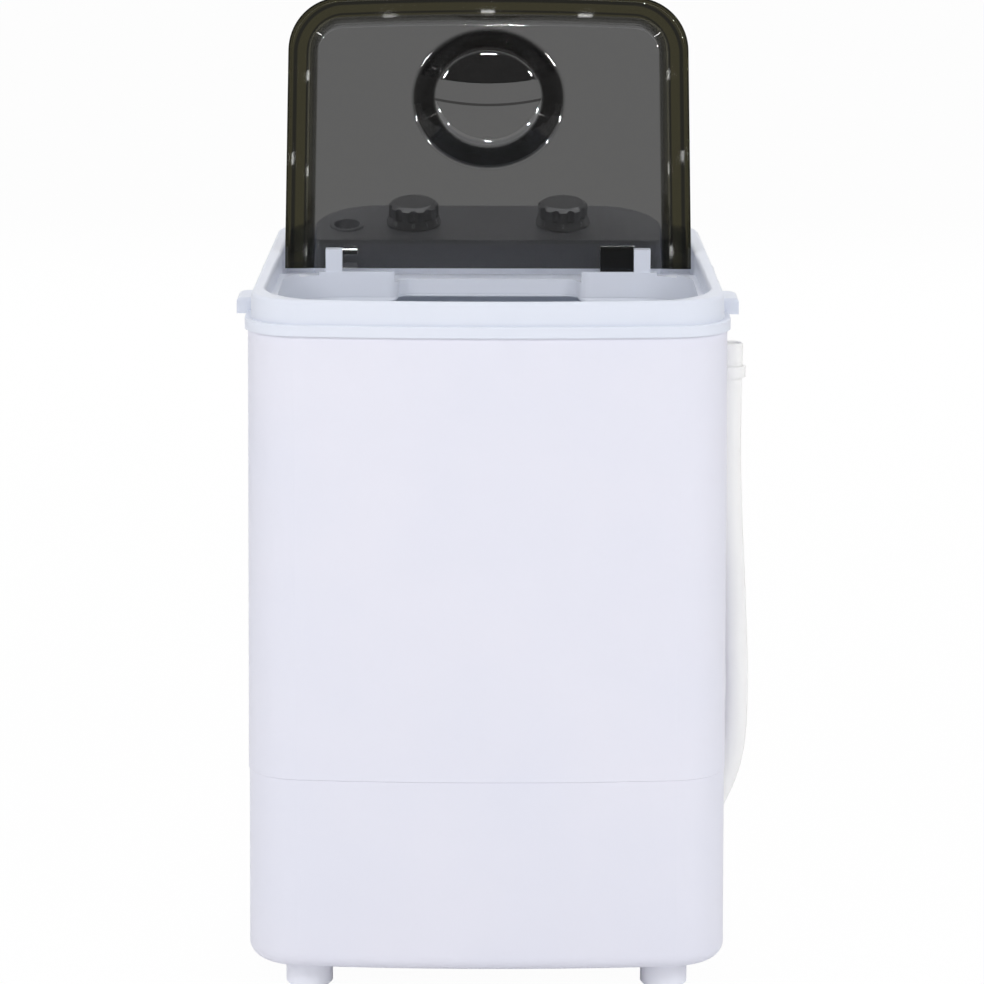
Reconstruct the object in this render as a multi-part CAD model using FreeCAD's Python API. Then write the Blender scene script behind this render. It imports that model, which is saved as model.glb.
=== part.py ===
"""Mini washing machine with a single tub, a tinted lid and a two-knob console.

Millimetres, +Z up, the front faces -Y. The origin is on the floor under the middle of the body.
The lid stands open, as the machine is when it is being loaded.
"""
import FreeCAD, Part
import math
import os

V = FreeCAD.Vector
X_AXIS = V(1, 0, 0)
Y_AXIS = V(0, 1, 0)
Z_AXIS = V(0, 0, 1)

# Driving dimensions of the body
CABINET_WIDTH = 360.0
CABINET_DEPTH = 340.0
CABINET_HEIGHT = 343.5
CABINET_WALL = 2.5
CORNER_RADIUS = 40.0
FRONT_CROWN_RADIUS = 1400.0
MOULD_DRAFT = 0.45
BASE_HEIGHT = 150.0
BASE_WALL = 3.0
BASE_SETBACK = 0.7
BASE_BOTTOM_RADIUS = 12.0
SEAM_TONGUE = 10.0
SEAM_CHAMFER = 0.8
FOOT_HEIGHT = 24.0
FOOT_DIAMETER = 36.0
FOOT_INSET = 43.0
FOOT_CHAMFER = 4.0
FOOT_SPIGOT_DIAMETER = 8.0

# Top frame
FLANGE_THICKNESS = 2.5
FRAME_WALL = 2.5
BAND_OUTSET = 2.4
BAND_DROP = 4.8
BAND_RISE = 3.6
COLLAR_RISE = 21.4
COLLAR_REAR_RISE = 11.6
COLLAR_INSET = 0.8
COLLAR_LEAN = 1.2
COLLAR_TAPER = 9.0
RIM_WIDTH = 10.0
RIM_FRONT_WIDTH = 8.0
RIM_CORNER_RADIUS = 50.0
RIM_ROUNDING = 3.0
SHELF_RISE = 12.1
DECK_THICKNESS = 3.6
POCKET_DROP = 2.3
POCKET_REACH = 14.0
MOUTH_SIDE = 20.0
MOUTH_FRONT = 30.0
MOUTH_RADIUS = 44.0
MOUTH_SKIRT = 8.0
MIDDLE_RECESS_SIDE_GAP = 109.0
MIDDLE_RECESS_DEPTH = 17.0
MIDDLE_RECESS_CORNER = 9.0
GRIP_REACH = 10.0
GRIP_LENGTH = 40.0
GRIP_START = 74.0
GRIP_HEIGHT = 12.0
GRIP_ROUNDING = 9.0
GRIP_EDGE_ROUNDING = 3.0

# Lid and hinge
PIN_REAR_GAP = 122.0
PIN_RISE = 26.6
PIN_DIAMETER = 4.0
LUG_SIDE_GAP = 65.0
LUG_WIDTH = 13.0
LUG_FRONT = 9.0
LUG_REAR = 4.2
LUG_TOP = 3.2
LIP_THICKNESS = 2.5
LID_OPEN_ANGLE = 98.0
LID_FRONT_GAP = 16.0
LID_TAIL = 13.0
LID_REAR_SIDE_GAP = 18.7
LID_FRONT_SIDE_GAP = 23.9
LID_CORNER_RADIUS = 42.0
LID_CROWN_RADIUS = 2600.0
LID_WALL = 2.5
LID_FLANGE = 14.5
LID_STEP = 5.5
LID_PLATE_RISE = 7.0
LID_FLANGE_DROP = 6.0
LID_EDGE_ROLL = 3.0
LID_INNER_ROLL = 1.0
LID_STEP_ROLL = 4.0
LID_BEAD_WIDTH = 2.0
LID_BEAD_HEIGHT = 1.5
LID_REST_GAP = 0.4
LID_SKIRT_HEEL = 9.5
LID_HEEL_START = 4.0
RECESS_FRONT_GAP = 81.0
RECESS_WIDTH = 121.5
RECESS_LENGTH = 111.5
RECESS_SLOPE = 18.5
RECESS_DEPTH = 24.0
CUP_FLOOR_ROLL = 6.0
CUP_NECK_ROLL = 4.0
GRIP_LIP_OFFSET = 20.7
GRIP_LIP_SAG = 8.9
RIDGE_OFFSET = 5.0
RIDGE_SAG = 9.7
RIDGE_WIDTH = 2.0
RIDGE_HEIGHT = 1.5
HINGE_BOSS_WIDTH = 12.0
HINGE_BLOCK_WIDTH = 26.0
HINGE_BLOCK_TAIL = 16.5
HINGE_BLOCK_NOSE = 5.0
HINGE_BLOCK_DROP = 4.5
HINGE_BLOCK_ROUNDING = 4.5

# Console and controls
CONSOLE_SIDE_GAP = 41.0
CONSOLE_REAR_GAP = 10.0
CONSOLE_LENGTH = 76.0
CONSOLE_FRONT_RISE = 30.9
CONSOLE_REAR_RISE = 48.0
CONSOLE_REAR_RADIUS = 50.0
CONSOLE_FRONT_RADIUS = 6.0
PANEL_THICKNESS = 3.0
KNOB_SPACING = 120.0
KNOB_DIAMETER = 40.0
KNOB_TOP_DIAMETER = 32.0
KNOB_HEIGHT = 17.4
KNOB_FLUTES = 10
KNOB_FLUTE_DIAMETER = 8.0
KNOB_FLUTE_STANDOFF = 2.0
KNOB_TOP_CHAMFER = 2.6
KNOB_GAP = 0.6
SKIRT_DIAMETER = 43.5
SKIRT_HEIGHT = 6.5
SKIRT_EDGE = 1.0
CONTROL_SHAFT_DIAMETER = 6.0
TIMER_DIAMETER = 46.0
TIMER_DEPTH = 25.0
SELECTOR_WIDTH = 36.0
SELECTOR_DEPTH = 22.0
INLET_SIDE_GAP = 25.5
INLET_REACH = 30.4
INLET_BORE = 21.0
INLET_WALL = 2.0
INLET_FLANGE = 27.0
INLET_FLANGE_THICKNESS = 1.5

# Tub and pulsator
TUB_SIDE_GAP = 14.0
TUB_END_GAP = 20.0
TUB_RADIUS = 42.0
TUB_WALL = 2.5
TUB_FLOOR = 3.0
TUB_DRAFT_INSET = 13.0
TUB_FLOOR_RISE = 38.5
TUB_BOTTOM_RADIUS = 22.0
WELL_SIDE_GAP = 91.0
WELL_DEPTH = 12.0
PULSATOR_SIDE_GAP = 4.0
PULSATOR_THICKNESS = 7.0
PULSATOR_GAP = 3.0
PULSATOR_HUB = 44.0
PULSATOR_EDGE = 2.0
PULSATOR_HUB_EDGE = 4.0
PULSATOR_HUB_SHOULDER = 3.0
VANE_COUNT = 3
VANE_HEIGHT = 20.0
VANE_THICKNESS = 14.0
VANE_END_GAP = 4.0
VANE_NOSE_RADIUS = 4.0
VANE_TIP_RADIUS = 6.0
VANE_ROOT = 1.0
VANE_LEAN = 2.8
SHAFT_DIAMETER = 12.0
SEAL_DIAMETER = 26.0
SEAL_HEIGHT = 6.0
SEAL_LIP = 1.0
BUSH_DIAMETER = 20.0
BUSH_LENGTH = 15.0
HOUSING_DIAMETER = 34.0
HOUSING_LENGTH = 52.0
HOUSING_FLANGE_DIAMETER = 84.0
HOUSING_FLANGE_THICKNESS = 5.0
HOUSING_RIBS = 4
HOUSING_RIB_INSET = 2.0
RUNNING_CLEARANCE = 0.05
LOOSE_CLEARANCE = 0.3

# Drive
DRIVE_PULLEY_DIAMETER = 120.0
MOTOR_PULLEY_DIAMETER = 32.0
PULLEY_WIDTH = 16.0
PULLEY_GAP = 3.0
GROOVE_DEPTH = 7.0
GROOVE_HALF_ANGLE = 18.0
BELT_WIDTH = 9.0
BELT_HEIGHT = 6.0
PULLEY_HOLES = 5
PULLEY_RIM = 4.0
PULLEY_HUB_DIAMETER = 30.0
PULLEY_HOLE_DIAMETER = 20.4
NUT_DIAMETER = 19.2
NUT_SIDES = 6
MOTOR_OFFSET = 92.0
MOTOR_DIAMETER = 96.0
MOTOR_HEIGHT = 76.0
MOTOR_CAP_HEIGHT = 22.8
MOTOR_WAIST_INSET = 4.0
MOTOR_SHOULDER_WIDTH = 10.0
MOTOR_SHOULDER_HEIGHT = 8.0
MOTOR_SHAFT_DIAMETER = 10.0
MOTOR_BOSS_DIAMETER = 26.0
MOTOR_BOSS_HEIGHT = 4.0
MOTOR_DROP = 10.0
BRACKET_WIDTH = 100.0
BRACKET_SPAN = 236.0
BRACKET_SHEET = 2.5
BRACKET_FOOT = 15.0
CAPACITOR_DIAMETER = 32.0
CAPACITOR_LENGTH = 58.0
PLATE_SIDE_GAP = 55.0
PLATE_END_GAP = 70.0
PLATE_LAP = 10.0
PLATE_SLOTS = 7
SLOT_WIDTH = 5.0
SLOT_PITCH = 14.0
SCREW_DIAMETER = 4.0
SCREW_HEAD_DIAMETER = 8.0
SCREW_HEAD_HEIGHT = 2.5

# Drain and wiring
DRAIN_SIDE_GAP = 72.0
HOSE_Y = 30.0
HOSE_DIAMETER = 18.0
HOSE_BORE = 14.0
PIPE_WALL = 1.6
PIPE_BEND = 20.0
PIPE_FLANGE = 30.0
PIPE_ENTRY = 15.0
STRAINER_HOLES = 6
STRAINER_HOLE_DIAMETER = 3.5
STRAINER_RING_RADIUS = 5.25
CLAMP_WIDTH = 8.0
CLAMP_WALL = 2.0
CLIP_HEIGHT = 455.0
CLIP_WIDTH = 9.0
CLIP_WALL = 2.3
CLIP_GAP = 14.0
SLOT_LENGTH = 60.0
SLOT_CLEARANCE = 1.6
GROMMET_LIP = 2.2
GLAND_SIDE_GAP = 70.0
GLAND_RISE = 40.0
GLAND_DIAMETER = 16.0
GLAND_BORE = 8.0
GLAND_COLLAR_DIAMETER = 22.4
LOOM_X = -20.0
LOOM_DIAMETER = 6.0
LOOM_RISE = 58.0
LOOM_BEND = 30.0

# Share of its shorter run that a bend of the hose takes up, and the size of a touching gap
BEND_SHARE = 0.45
TOUCHING = 1e-4

# The hose's middle line as distance out from the cabinet's side and height above the floor
HOSE_ROUTE = [
    (-20.0, 58.0),
    (-4.0, 88.0),
    (18.5, 136.0),
    (21.0, 196.0),
    (18.2, 262.0),
    (12.6, 360.0),
    (11.6, 420.0),
    (12.5, 478.0),
]

# Levels and planes that follow from the driving dimensions
HALF_WIDTH = CABINET_WIDTH / 2
FRONT = -CABINET_DEPTH / 2
REAR = CABINET_DEPTH / 2
BASE_Z = FOOT_HEIGHT
SEAM_Z = BASE_Z + BASE_HEIGHT
CABINET_TOP = SEAM_Z + CABINET_HEIGHT
FRAME_Z = CABINET_TOP + FLANGE_THICKNESS
LEDGE_Z = FRAME_Z + BAND_RISE
SHELF_Z = FRAME_Z + SHELF_RISE
DECK_Z = FRAME_Z + DECK_THICKNESS
RIM_FRONT_Z = FRAME_Z + COLLAR_RISE
RIM_REAR_Z = RIM_FRONT_Z + COLLAR_REAR_RISE
PIN_Y = REAR - PIN_REAR_GAP
PIN_Z = FRAME_Z + PIN_RISE
LUG_INNER = HALF_WIDTH - LUG_SIDE_GAP
LID_REACH = PIN_Y - FRONT - LID_FRONT_GAP
LID_HALF_REAR = HALF_WIDTH - LID_REAR_SIDE_GAP
LID_HALF_FRONT = HALF_WIDTH - LID_FRONT_SIDE_GAP
RECESS_CENTRE = LID_REACH - RECESS_FRONT_GAP
MIDDLE_RECESS_WIDTH = CABINET_WIDTH - 2 * MIDDLE_RECESS_SIDE_GAP
CONSOLE_HALF_WIDTH = HALF_WIDTH - CONSOLE_SIDE_GAP
CONSOLE_Y = REAR - CONSOLE_REAR_GAP - CONSOLE_LENGTH
INLET_OFFSET = INLET_SIDE_GAP - CONSOLE_HALF_WIDTH
TUB_FLOOR_Z = SEAM_Z + TUB_FLOOR_RISE
WELL_DIAMETER = CABINET_WIDTH - 2 * WELL_SIDE_GAP
PULSATOR_DIAMETER = WELL_DIAMETER - 2 * PULSATOR_SIDE_GAP
PLATE_WIDTH = CABINET_WIDTH - 2 * PLATE_SIDE_GAP
PLATE_DEPTH = CABINET_DEPTH - 2 * PLATE_END_GAP
DRAIN_X = HALF_WIDTH - DRAIN_SIDE_GAP
GLAND_X = GLAND_SIDE_GAP - HALF_WIDTH
WELL_Z = TUB_FLOOR_Z + TUB_FLOOR - WELL_DEPTH
HIGH = 2 * RIM_REAR_Z


class Plan:
    """A rounded outline seen from above, with a crowned or straight front and sides that may taper."""

    def __init__(self, front_half, rear_half, front_y, rear_y, front_radius, rear_radius, crown=None):
        self.front_half = front_half
        self.front_y = front_y
        self.rear_y = rear_y
        self.front_radius = front_radius
        self.rear_radius = rear_radius
        self.crown = crown
        taper = math.atan2(front_half - rear_half, rear_y - front_y)
        self.side = V(math.cos(taper), math.sin(taper), 0)
        self.along = V(-math.sin(taper), math.cos(taper), 0)
        self.reach = self.side.dot(V(front_half, front_y, 0))

    def front_centre(self):
        """The middle of the right front corner's arc."""
        foot = self.side * (self.reach - self.front_radius)
        if self.crown is None:
            step = (self.front_y + self.front_radius - foot.y) / self.along.y
            return foot + self.along * step
        offset = foot - V(0, self.front_y + self.crown, 0)
        half_b = offset.dot(self.along)
        c = offset.dot(offset) - (self.crown - self.front_radius) ** 2
        return foot + self.along * (-half_b - math.sqrt(half_b * half_b - c))

    def rear_centre(self):
        """The middle of the right rear corner's arc."""
        y = self.rear_y - self.rear_radius
        x = (self.reach - self.rear_radius - self.side.y * y) / self.side.x
        return V(x, y, 0)

    def wire(self, inset, z):
        """The closed outline, moved inwards by inset, at height z."""
        front = self.front_centre()
        rear = self.rear_centre()
        forward = V(0, -1, 0)
        if self.crown is not None:
            forward = (front - V(0, self.front_y + self.crown, 0)).normalize()
        corners = [
            (front, forward, self.side, self.front_radius - inset),
            (rear, self.side, V(0, 1, 0), self.rear_radius - inset),
        ]
        lift = V(0, 0, z)
        right = []
        for centre, start, end, radius in corners:
            middle = (start + end).normalize()
            right.append([centre + d * radius + lift for d in (start, middle, end)])
        left = [[V(-p.x, p.y, p.z) for p in reversed(arc)] for arc in reversed(right)]
        arcs = right + left
        edges = []
        for arc, following in zip(arcs, arcs[1:] + arcs[:1]):
            edges.append(Part.Arc(*arc).toShape())
            if following is arcs[0] and self.crown is not None:
                top = V(0, self.front_y + inset, z)
                edges.append(Part.Arc(arc[2], top, following[0]).toShape())
            else:
                edges.append(Part.LineSegment(arc[2], following[0]).toShape())
        return Part.Wire(edges)

    def prism(self, inset, low, high):
        """An upright block of the outline between two heights."""
        return Part.Face(self.wire(inset, low)).extrude(V(0, 0, high - low))

    def tapered(self, low_inset, low, high_inset, high):
        """A block whose outline changes evenly from one height to another."""
        return Part.makeLoft([self.wire(low_inset, low), self.wire(high_inset, high)], True, True)


def box(x0, x1, y0, y1, z0, z1):
    return Part.makeBox(x1 - x0, y1 - y0, z1 - z0, V(x0, y0, z0))


def cylinder(diameter, low, high, x=0.0, y=0.0):
    return Part.makeCylinder(diameter / 2, high - low, V(x, y, low))


def tube(outer, inner, low, high, x=0.0, y=0.0):
    return cylinder(outer, low, high, x, y).cut(cylinder(inner, low, high, x, y))


def revolved(profile):
    """A solid of revolution about Z from (radius, height) points."""
    points = [V(r, 0, z) for r, z in profile]
    face = Part.Face(Part.makePolygon(points + points[:1]))
    return face.revolve(V(0, 0, 0), Z_AXIS, 360)


def fused(first, *others):
    return first.multiFuse(list(others)).removeSplitter()


def ring_of(count, make):
    """Copies of one shape, evenly spaced round the Z axis."""
    shapes = []
    for index in range(count):
        shape = make()
        shape.rotate(V(0, 0, 0), Z_AXIS, 360.0 * index / count)
        shapes.append(shape)
    return shapes


def mirrored(shape):
    return shape.mirror(V(0, 0, 0), X_AXIS)


def level_edges(shape, z):
    """The edges that lie flat at height z."""
    return [e for e in shape.Edges if all(abs(v.Z - z) < TOUCHING for v in e.Vertexes)]


def upright_edges(shape):
    """The straight edges that stand along Z."""
    found = []
    for edge in shape.Edges:
        if len(edge.Vertexes) == 2:
            span = edge.Vertexes[1].Point - edge.Vertexes[0].Point
            if math.hypot(span.x, span.y) < TOUCHING < abs(span.z):
                found.append(edge)
    return found


def body_inset(z):
    """How far the drafted body stands inside its top outline at height z, negative when it is wider."""
    return -(CABINET_TOP - z) * math.tan(math.radians(MOULD_DRAFT))


def side_at(z):
    """The outer half width of the cabinet at height z."""
    return HALF_WIDTH - body_inset(z)


def rounded_path(points, radius=None):
    """A wire of straight runs joined by tangent arcs, each as large as its runs allow or of one radius."""
    edges = []
    radii = []
    last = points[0]
    for before, corner, after in zip(points, points[1:], points[2:]):
        incoming = (corner - before).normalize()
        outgoing = (after - corner).normalize()
        half_turn = incoming.getAngle(outgoing) / 2
        shorter = min((corner - before).Length, (after - corner).Length)
        bend = radius or BEND_SHARE * shorter / math.tan(half_turn)
        reach = bend * math.tan(half_turn)
        start = corner - incoming * reach
        end = corner + outgoing * reach
        towards = (outgoing - incoming).normalize()
        middle = corner + towards * (bend / math.cos(half_turn) - bend)
        edges.append(Part.LineSegment(last, start).toShape())
        edges.append(Part.Arc(start, middle, end).toShape())
        radii.append(bend)
        last = end
    edges.append(Part.LineSegment(last, points[-1]).toShape())
    return Part.Wire(edges), radii


def swept(path, diameter):
    """A round bar along a path."""
    start = path.Edges[0].Vertexes[0].Point
    direction = path.Edges[0].tangentAt(path.Edges[0].FirstParameter)
    circle = Part.Wire(Part.makeCircle(diameter / 2, start, direction))
    bar = path.makePipeShell([circle], True, False)
    return bar if bar.Volume > 0 else bar.reversed()


def screw(length):
    """A pan-head screw standing on its head's underside, pointing down."""
    head = cylinder(SCREW_HEAD_DIAMETER, 0, SCREW_HEAD_HEIGHT)
    head = head.makeFillet(SCREW_HEAD_HEIGHT / 2, level_edges(head, SCREW_HEAD_HEIGHT))
    return fused(head, cylinder(SCREW_DIAMETER, -length, 0))


def placed(shape, x, y, z):
    copy = shape.copy()
    copy.translate(V(x, y, z))
    return copy


def save(name, *solids):
    shape = solids[0] if len(solids) == 1 else Part.makeCompound(list(solids))
    shape.exportStep("parts/" + name + ".step")
    valid = all(s.isValid() for s in shape.Solids)
    print(f"{name}: {len(shape.Solids)} solid(s), valid {valid}, {shape.Volume / 1000:.1f} cm3")


BODY = Plan(HALF_WIDTH, HALF_WIDTH, FRONT, REAR, CORNER_RADIUS, CORNER_RADIUS, FRONT_CROWN_RADIUS)
COLLAR = Plan(
    HALF_WIDTH, HALF_WIDTH - COLLAR_TAPER, FRONT, REAR, CORNER_RADIUS, CORNER_RADIUS, FRONT_CROWN_RADIUS
)
RIM_INSET = COLLAR_INSET + COLLAR_LEAN + RIM_WIDTH
RIM = Plan(
    HALF_WIDTH - RIM_INSET, HALF_WIDTH - COLLAR_TAPER - RIM_INSET, FRONT + RIM_FRONT_WIDTH, REAR - RIM_INSET,
    RIM_CORNER_RADIUS, CORNER_RADIUS - RIM_INSET, FRONT_CROWN_RADIUS,
)
CONSOLE = Plan(
    CONSOLE_HALF_WIDTH, CONSOLE_HALF_WIDTH, CONSOLE_Y, CONSOLE_Y + CONSOLE_LENGTH,
    CONSOLE_FRONT_RADIUS, CONSOLE_REAR_RADIUS,
)
TUB = Plan(
    HALF_WIDTH - TUB_SIDE_GAP, HALF_WIDTH - TUB_SIDE_GAP, FRONT + TUB_END_GAP, REAR - TUB_END_GAP,
    TUB_RADIUS, TUB_RADIUS,
)


# Outer shells and feet

def base_shell():
    top = body_inset(SEAM_Z) + BASE_SETBACK
    bottom = body_inset(BASE_Z) + BASE_SETBACK
    outer = BODY.tapered(bottom, BASE_Z, top, SEAM_Z)
    outer = outer.makeFillet(BASE_BOTTOM_RADIUS, level_edges(outer, BASE_Z))
    inner = BODY.tapered(bottom + BASE_WALL, BASE_Z + BASE_WALL, top + BASE_WALL, SEAM_Z + SEAM_TONGUE)
    inner_radius = BASE_BOTTOM_RADIUS - BASE_WALL
    inner = inner.makeFillet(inner_radius, level_edges(inner, BASE_Z + BASE_WALL))
    tongue_inset = body_inset(SEAM_Z) + CABINET_WALL + LOOSE_CLEARANCE
    tongue_low = SEAM_Z - SEAM_TONGUE
    tongue = BODY.prism(tongue_inset, tongue_low, SEAM_Z + SEAM_TONGUE)
    tongue = tongue.cut(BODY.prism(tongue_inset + BASE_WALL, tongue_low, SEAM_Z + SEAM_TONGUE))
    shell = fused(outer.cut(inner), tongue)
    holes = [hatch_opening(), hose_slot(0.0), gland_hole()]
    for x, y in foot_places():
        holes.append(cylinder(FOOT_SPIGOT_DIAMETER, BASE_Z, BASE_Z + BASE_WALL, x, y))
    return shell.cut(Part.makeCompound(holes))


def hatch_opening():
    half_width = PLATE_WIDTH / 2 - PLATE_LAP
    half_depth = PLATE_DEPTH / 2 - PLATE_LAP
    opening = box(-half_width, half_width, -half_depth, half_depth, BASE_Z, BASE_Z + BASE_WALL)
    return opening.makeFillet(PLATE_LAP, upright_edges(opening))


def hose_slot(margin):
    """The upright slot in the base's right wall, grown by margin, through the wall's thickness."""
    radius = HOSE_DIAMETER / 2 + SLOT_CLEARANCE + GROMMET_LIP + margin
    middle = hose_crossing()
    half = SLOT_LENGTH / 2 - HOSE_DIAMETER / 2
    x0 = side_at(BASE_Z) - BASE_WALL * 3
    x1 = side_at(BASE_Z) + BASE_WALL
    ends = [Part.makeCylinder(radius, x1 - x0, V(x0, HOSE_Y, middle + s * half), X_AXIS) for s in (-1, 1)]
    return fused(box(x0, x1, HOSE_Y - radius, HOSE_Y + radius, middle - half, middle + half), *ends)


def hose_crossing():
    """The height where the hose's middle line passes through the base's wall."""
    (x0, z0), (x1, z1) = HOSE_ROUTE[1:3]
    side = side_at(z0) - BASE_SETBACK - BASE_WALL / 2 - HALF_WIDTH
    return z0 + (z1 - z0) * (side - x0) / (x1 - x0)


def gland_hole():
    z = BASE_Z + GLAND_RISE
    return Part.makeCylinder(GLAND_DIAMETER / 2, BASE_WALL * 4, V(GLAND_X, REAR - BASE_WALL * 2, z), Y_AXIS)


def foot_places():
    x = HALF_WIDTH - FOOT_INSET
    y = REAR - FOOT_INSET
    return [(sx * x, sy * y) for sx in (-1, 1) for sy in (-1, 1)]


def feet():
    body = cylinder(FOOT_DIAMETER, 0, FOOT_HEIGHT)
    body = body.makeChamfer(FOOT_CHAMFER, level_edges(body, 0))
    foot = fused(body, cylinder(FOOT_SPIGOT_DIAMETER, FOOT_HEIGHT, FOOT_HEIGHT + BASE_WALL))
    return [placed(foot, x, y, 0) for x, y in foot_places()]


def bottom_plate():
    half_width = PLATE_WIDTH / 2
    half_depth = PLATE_DEPTH / 2
    low = BASE_Z - FRAME_WALL
    plate = box(-half_width, half_width, -half_depth, half_depth, low, BASE_Z)
    plate = plate.makeFillet(PLATE_LAP * 2, upright_edges(plate))
    slot_half = half_depth / 2
    first = MOTOR_OFFSET + SLOT_PITCH * (PLATE_SLOTS - 1) / 2
    slots = []
    for index in range(PLATE_SLOTS):
        x = index * SLOT_PITCH - first
        slots.append(box(x - SLOT_WIDTH / 2, x + SLOT_WIDTH / 2, -slot_half, slot_half, low, BASE_Z))
    for x, y in plate_screw_places():
        slots.append(cylinder(SCREW_DIAMETER, low, BASE_Z, x, y))
    return plate.cut(Part.makeCompound(slots))


def plate_screw_places():
    x = PLATE_WIDTH / 2 - PLATE_LAP / 2
    y = PLATE_DEPTH / 4
    return [(sx * x, sy * y) for sx in (-1, 1) for sy in (-1, 1)]


def plate_screws():
    fixing = screw(FRAME_WALL)
    fixing.rotate(V(0, 0, 0), X_AXIS, 180)
    return [placed(fixing, x, y, BASE_Z - FRAME_WALL) for x, y in plate_screw_places()]


def cabinet():
    low = body_inset(SEAM_Z)
    outer = BODY.tapered(low, SEAM_Z, 0.0, CABINET_TOP)
    outer = outer.makeChamfer(SEAM_CHAMFER, level_edges(outer, SEAM_Z))
    inner = BODY.tapered(low + CABINET_WALL, SEAM_Z, CABINET_WALL, CABINET_TOP)
    return outer.cut(inner)


# Top frame: collar, shelf, deck, hinge lugs and console housing

def above_slope(front_z, rear_z, front_y, rear_y):
    """Everything above a plane that rises from front to rear."""
    reach = CABINET_DEPTH
    slope = (rear_z - front_z) / (rear_y - front_y)
    corners = [
        V(-reach, front_y - reach, front_z - slope * reach),
        V(-reach, rear_y + reach, rear_z + slope * reach),
        V(-reach, rear_y + reach, HIGH + reach),
        V(-reach, front_y - reach, HIGH + reach),
    ]
    return Part.Face(Part.makePolygon(corners + corners[:1])).extrude(V(reach * 2, 0, 0))


def above_console(drop):
    """Everything above the control panel's face, lowered by drop along its normal."""
    fall = drop / math.cos(panel_tilt())
    front_z = FRAME_Z + CONSOLE_FRONT_RISE - fall
    rear_z = FRAME_Z + CONSOLE_REAR_RISE - fall
    return above_slope(front_z, rear_z, CONSOLE_Y, CONSOLE_Y + CONSOLE_LENGTH)


def collar_ring():
    low = COLLAR_INSET
    high = COLLAR_INSET + COLLAR_LEAN
    outer = COLLAR.tapered(low, FRAME_Z, high, RIM_REAR_Z)
    outer = outer.cut(above_slope(RIM_FRONT_Z, RIM_REAR_Z, FRONT, REAR))
    ring = outer.cut(RIM.prism(0, SHELF_Z - FRAME_WALL, HIGH))
    slope = (RIM_REAR_Z - RIM_FRONT_Z) / CABINET_DEPTH
    rim = []
    for edge in ring.Edges:
        if all(abs(RIM_FRONT_Z + slope * (v.Y - FRONT) - v.Z) < TOUCHING for v in edge.Vertexes):
            rim.append(edge)
    return ring.makeFillet(RIM_ROUNDING, rim)


def mouth(margin, low, high):
    """The loading opening, grown sideways by margin, between two heights."""
    side = HALF_WIDTH - MOUTH_SIDE + margin
    front = FRONT + MOUTH_FRONT - margin
    rear = PIN_Y - LUG_FRONT + margin
    main = Plan(side, side, front, rear, MOUTH_RADIUS + margin, MOUTH_RADIUS + margin)
    half = MIDDLE_RECESS_WIDTH / 2 + margin
    recess = Plan(
        half, half, rear - MIDDLE_RECESS_DEPTH * 2, rear + MIDDLE_RECESS_DEPTH,
        MIDDLE_RECESS_DEPTH / 2, MIDDLE_RECESS_DEPTH / 2,
    )
    opening = fused(main.prism(0, low, high), recess.prism(0, low, high))
    corners = []
    for edge in upright_edges(opening):
        place = edge.Vertexes[0].Point
        if abs(abs(place.x) - half) < TOUCHING and abs(place.y - rear) < TOUCHING:
            corners.append(edge)
    return opening.makeFillet(MIDDLE_RECESS_CORNER - margin, corners)


def grip():
    """One carrying grip on the right side of the collar."""
    outer = HALF_WIDTH + GRIP_REACH
    inner = HALF_WIDTH - RIM_WIDTH
    low = LEDGE_Z - FRAME_WALL
    y0 = FRONT + GRIP_START
    bar = box(inner, outer, y0, y0 + GRIP_LENGTH, low, low + GRIP_HEIGHT)
    ends = [e for e in upright_edges(bar) if abs(e.Vertexes[0].X - outer) < TOUCHING]
    rear = [e for e in ends if e.Vertexes[0].Y > y0 + TOUCHING]
    bar = bar.makeFillet(GRIP_ROUNDING, rear)
    upper = level_edges(bar, low + GRIP_HEIGHT)
    top = [e for e in upper if any(abs(v.X - outer) < TOUCHING for v in e.Vertexes) and e.Length > GRIP_REACH]
    return bar.makeFillet(GRIP_EDGE_ROUNDING, top)


def lug():
    """One hinge lug on the right, with the pin's hole."""
    x1 = LUG_INNER + LUG_WIDTH
    tab = box(LUG_INNER, x1, PIN_Y - LUG_FRONT, PIN_Y + LUG_REAR, FRAME_Z, PIN_Z + LUG_TOP)
    rear = [
        e for e in level_edges(tab, PIN_Z + LUG_TOP)
        if all(abs(v.Y - PIN_Y - LUG_REAR) < TOUCHING for v in e.Vertexes)
    ]
    return tab.makeFillet(LUG_TOP, rear)


def pin_bar(diameter, x0, x1):
    return Part.makeCylinder(diameter / 2, x1 - x0, V(x0, PIN_Y, PIN_Z), X_AXIS)


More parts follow.
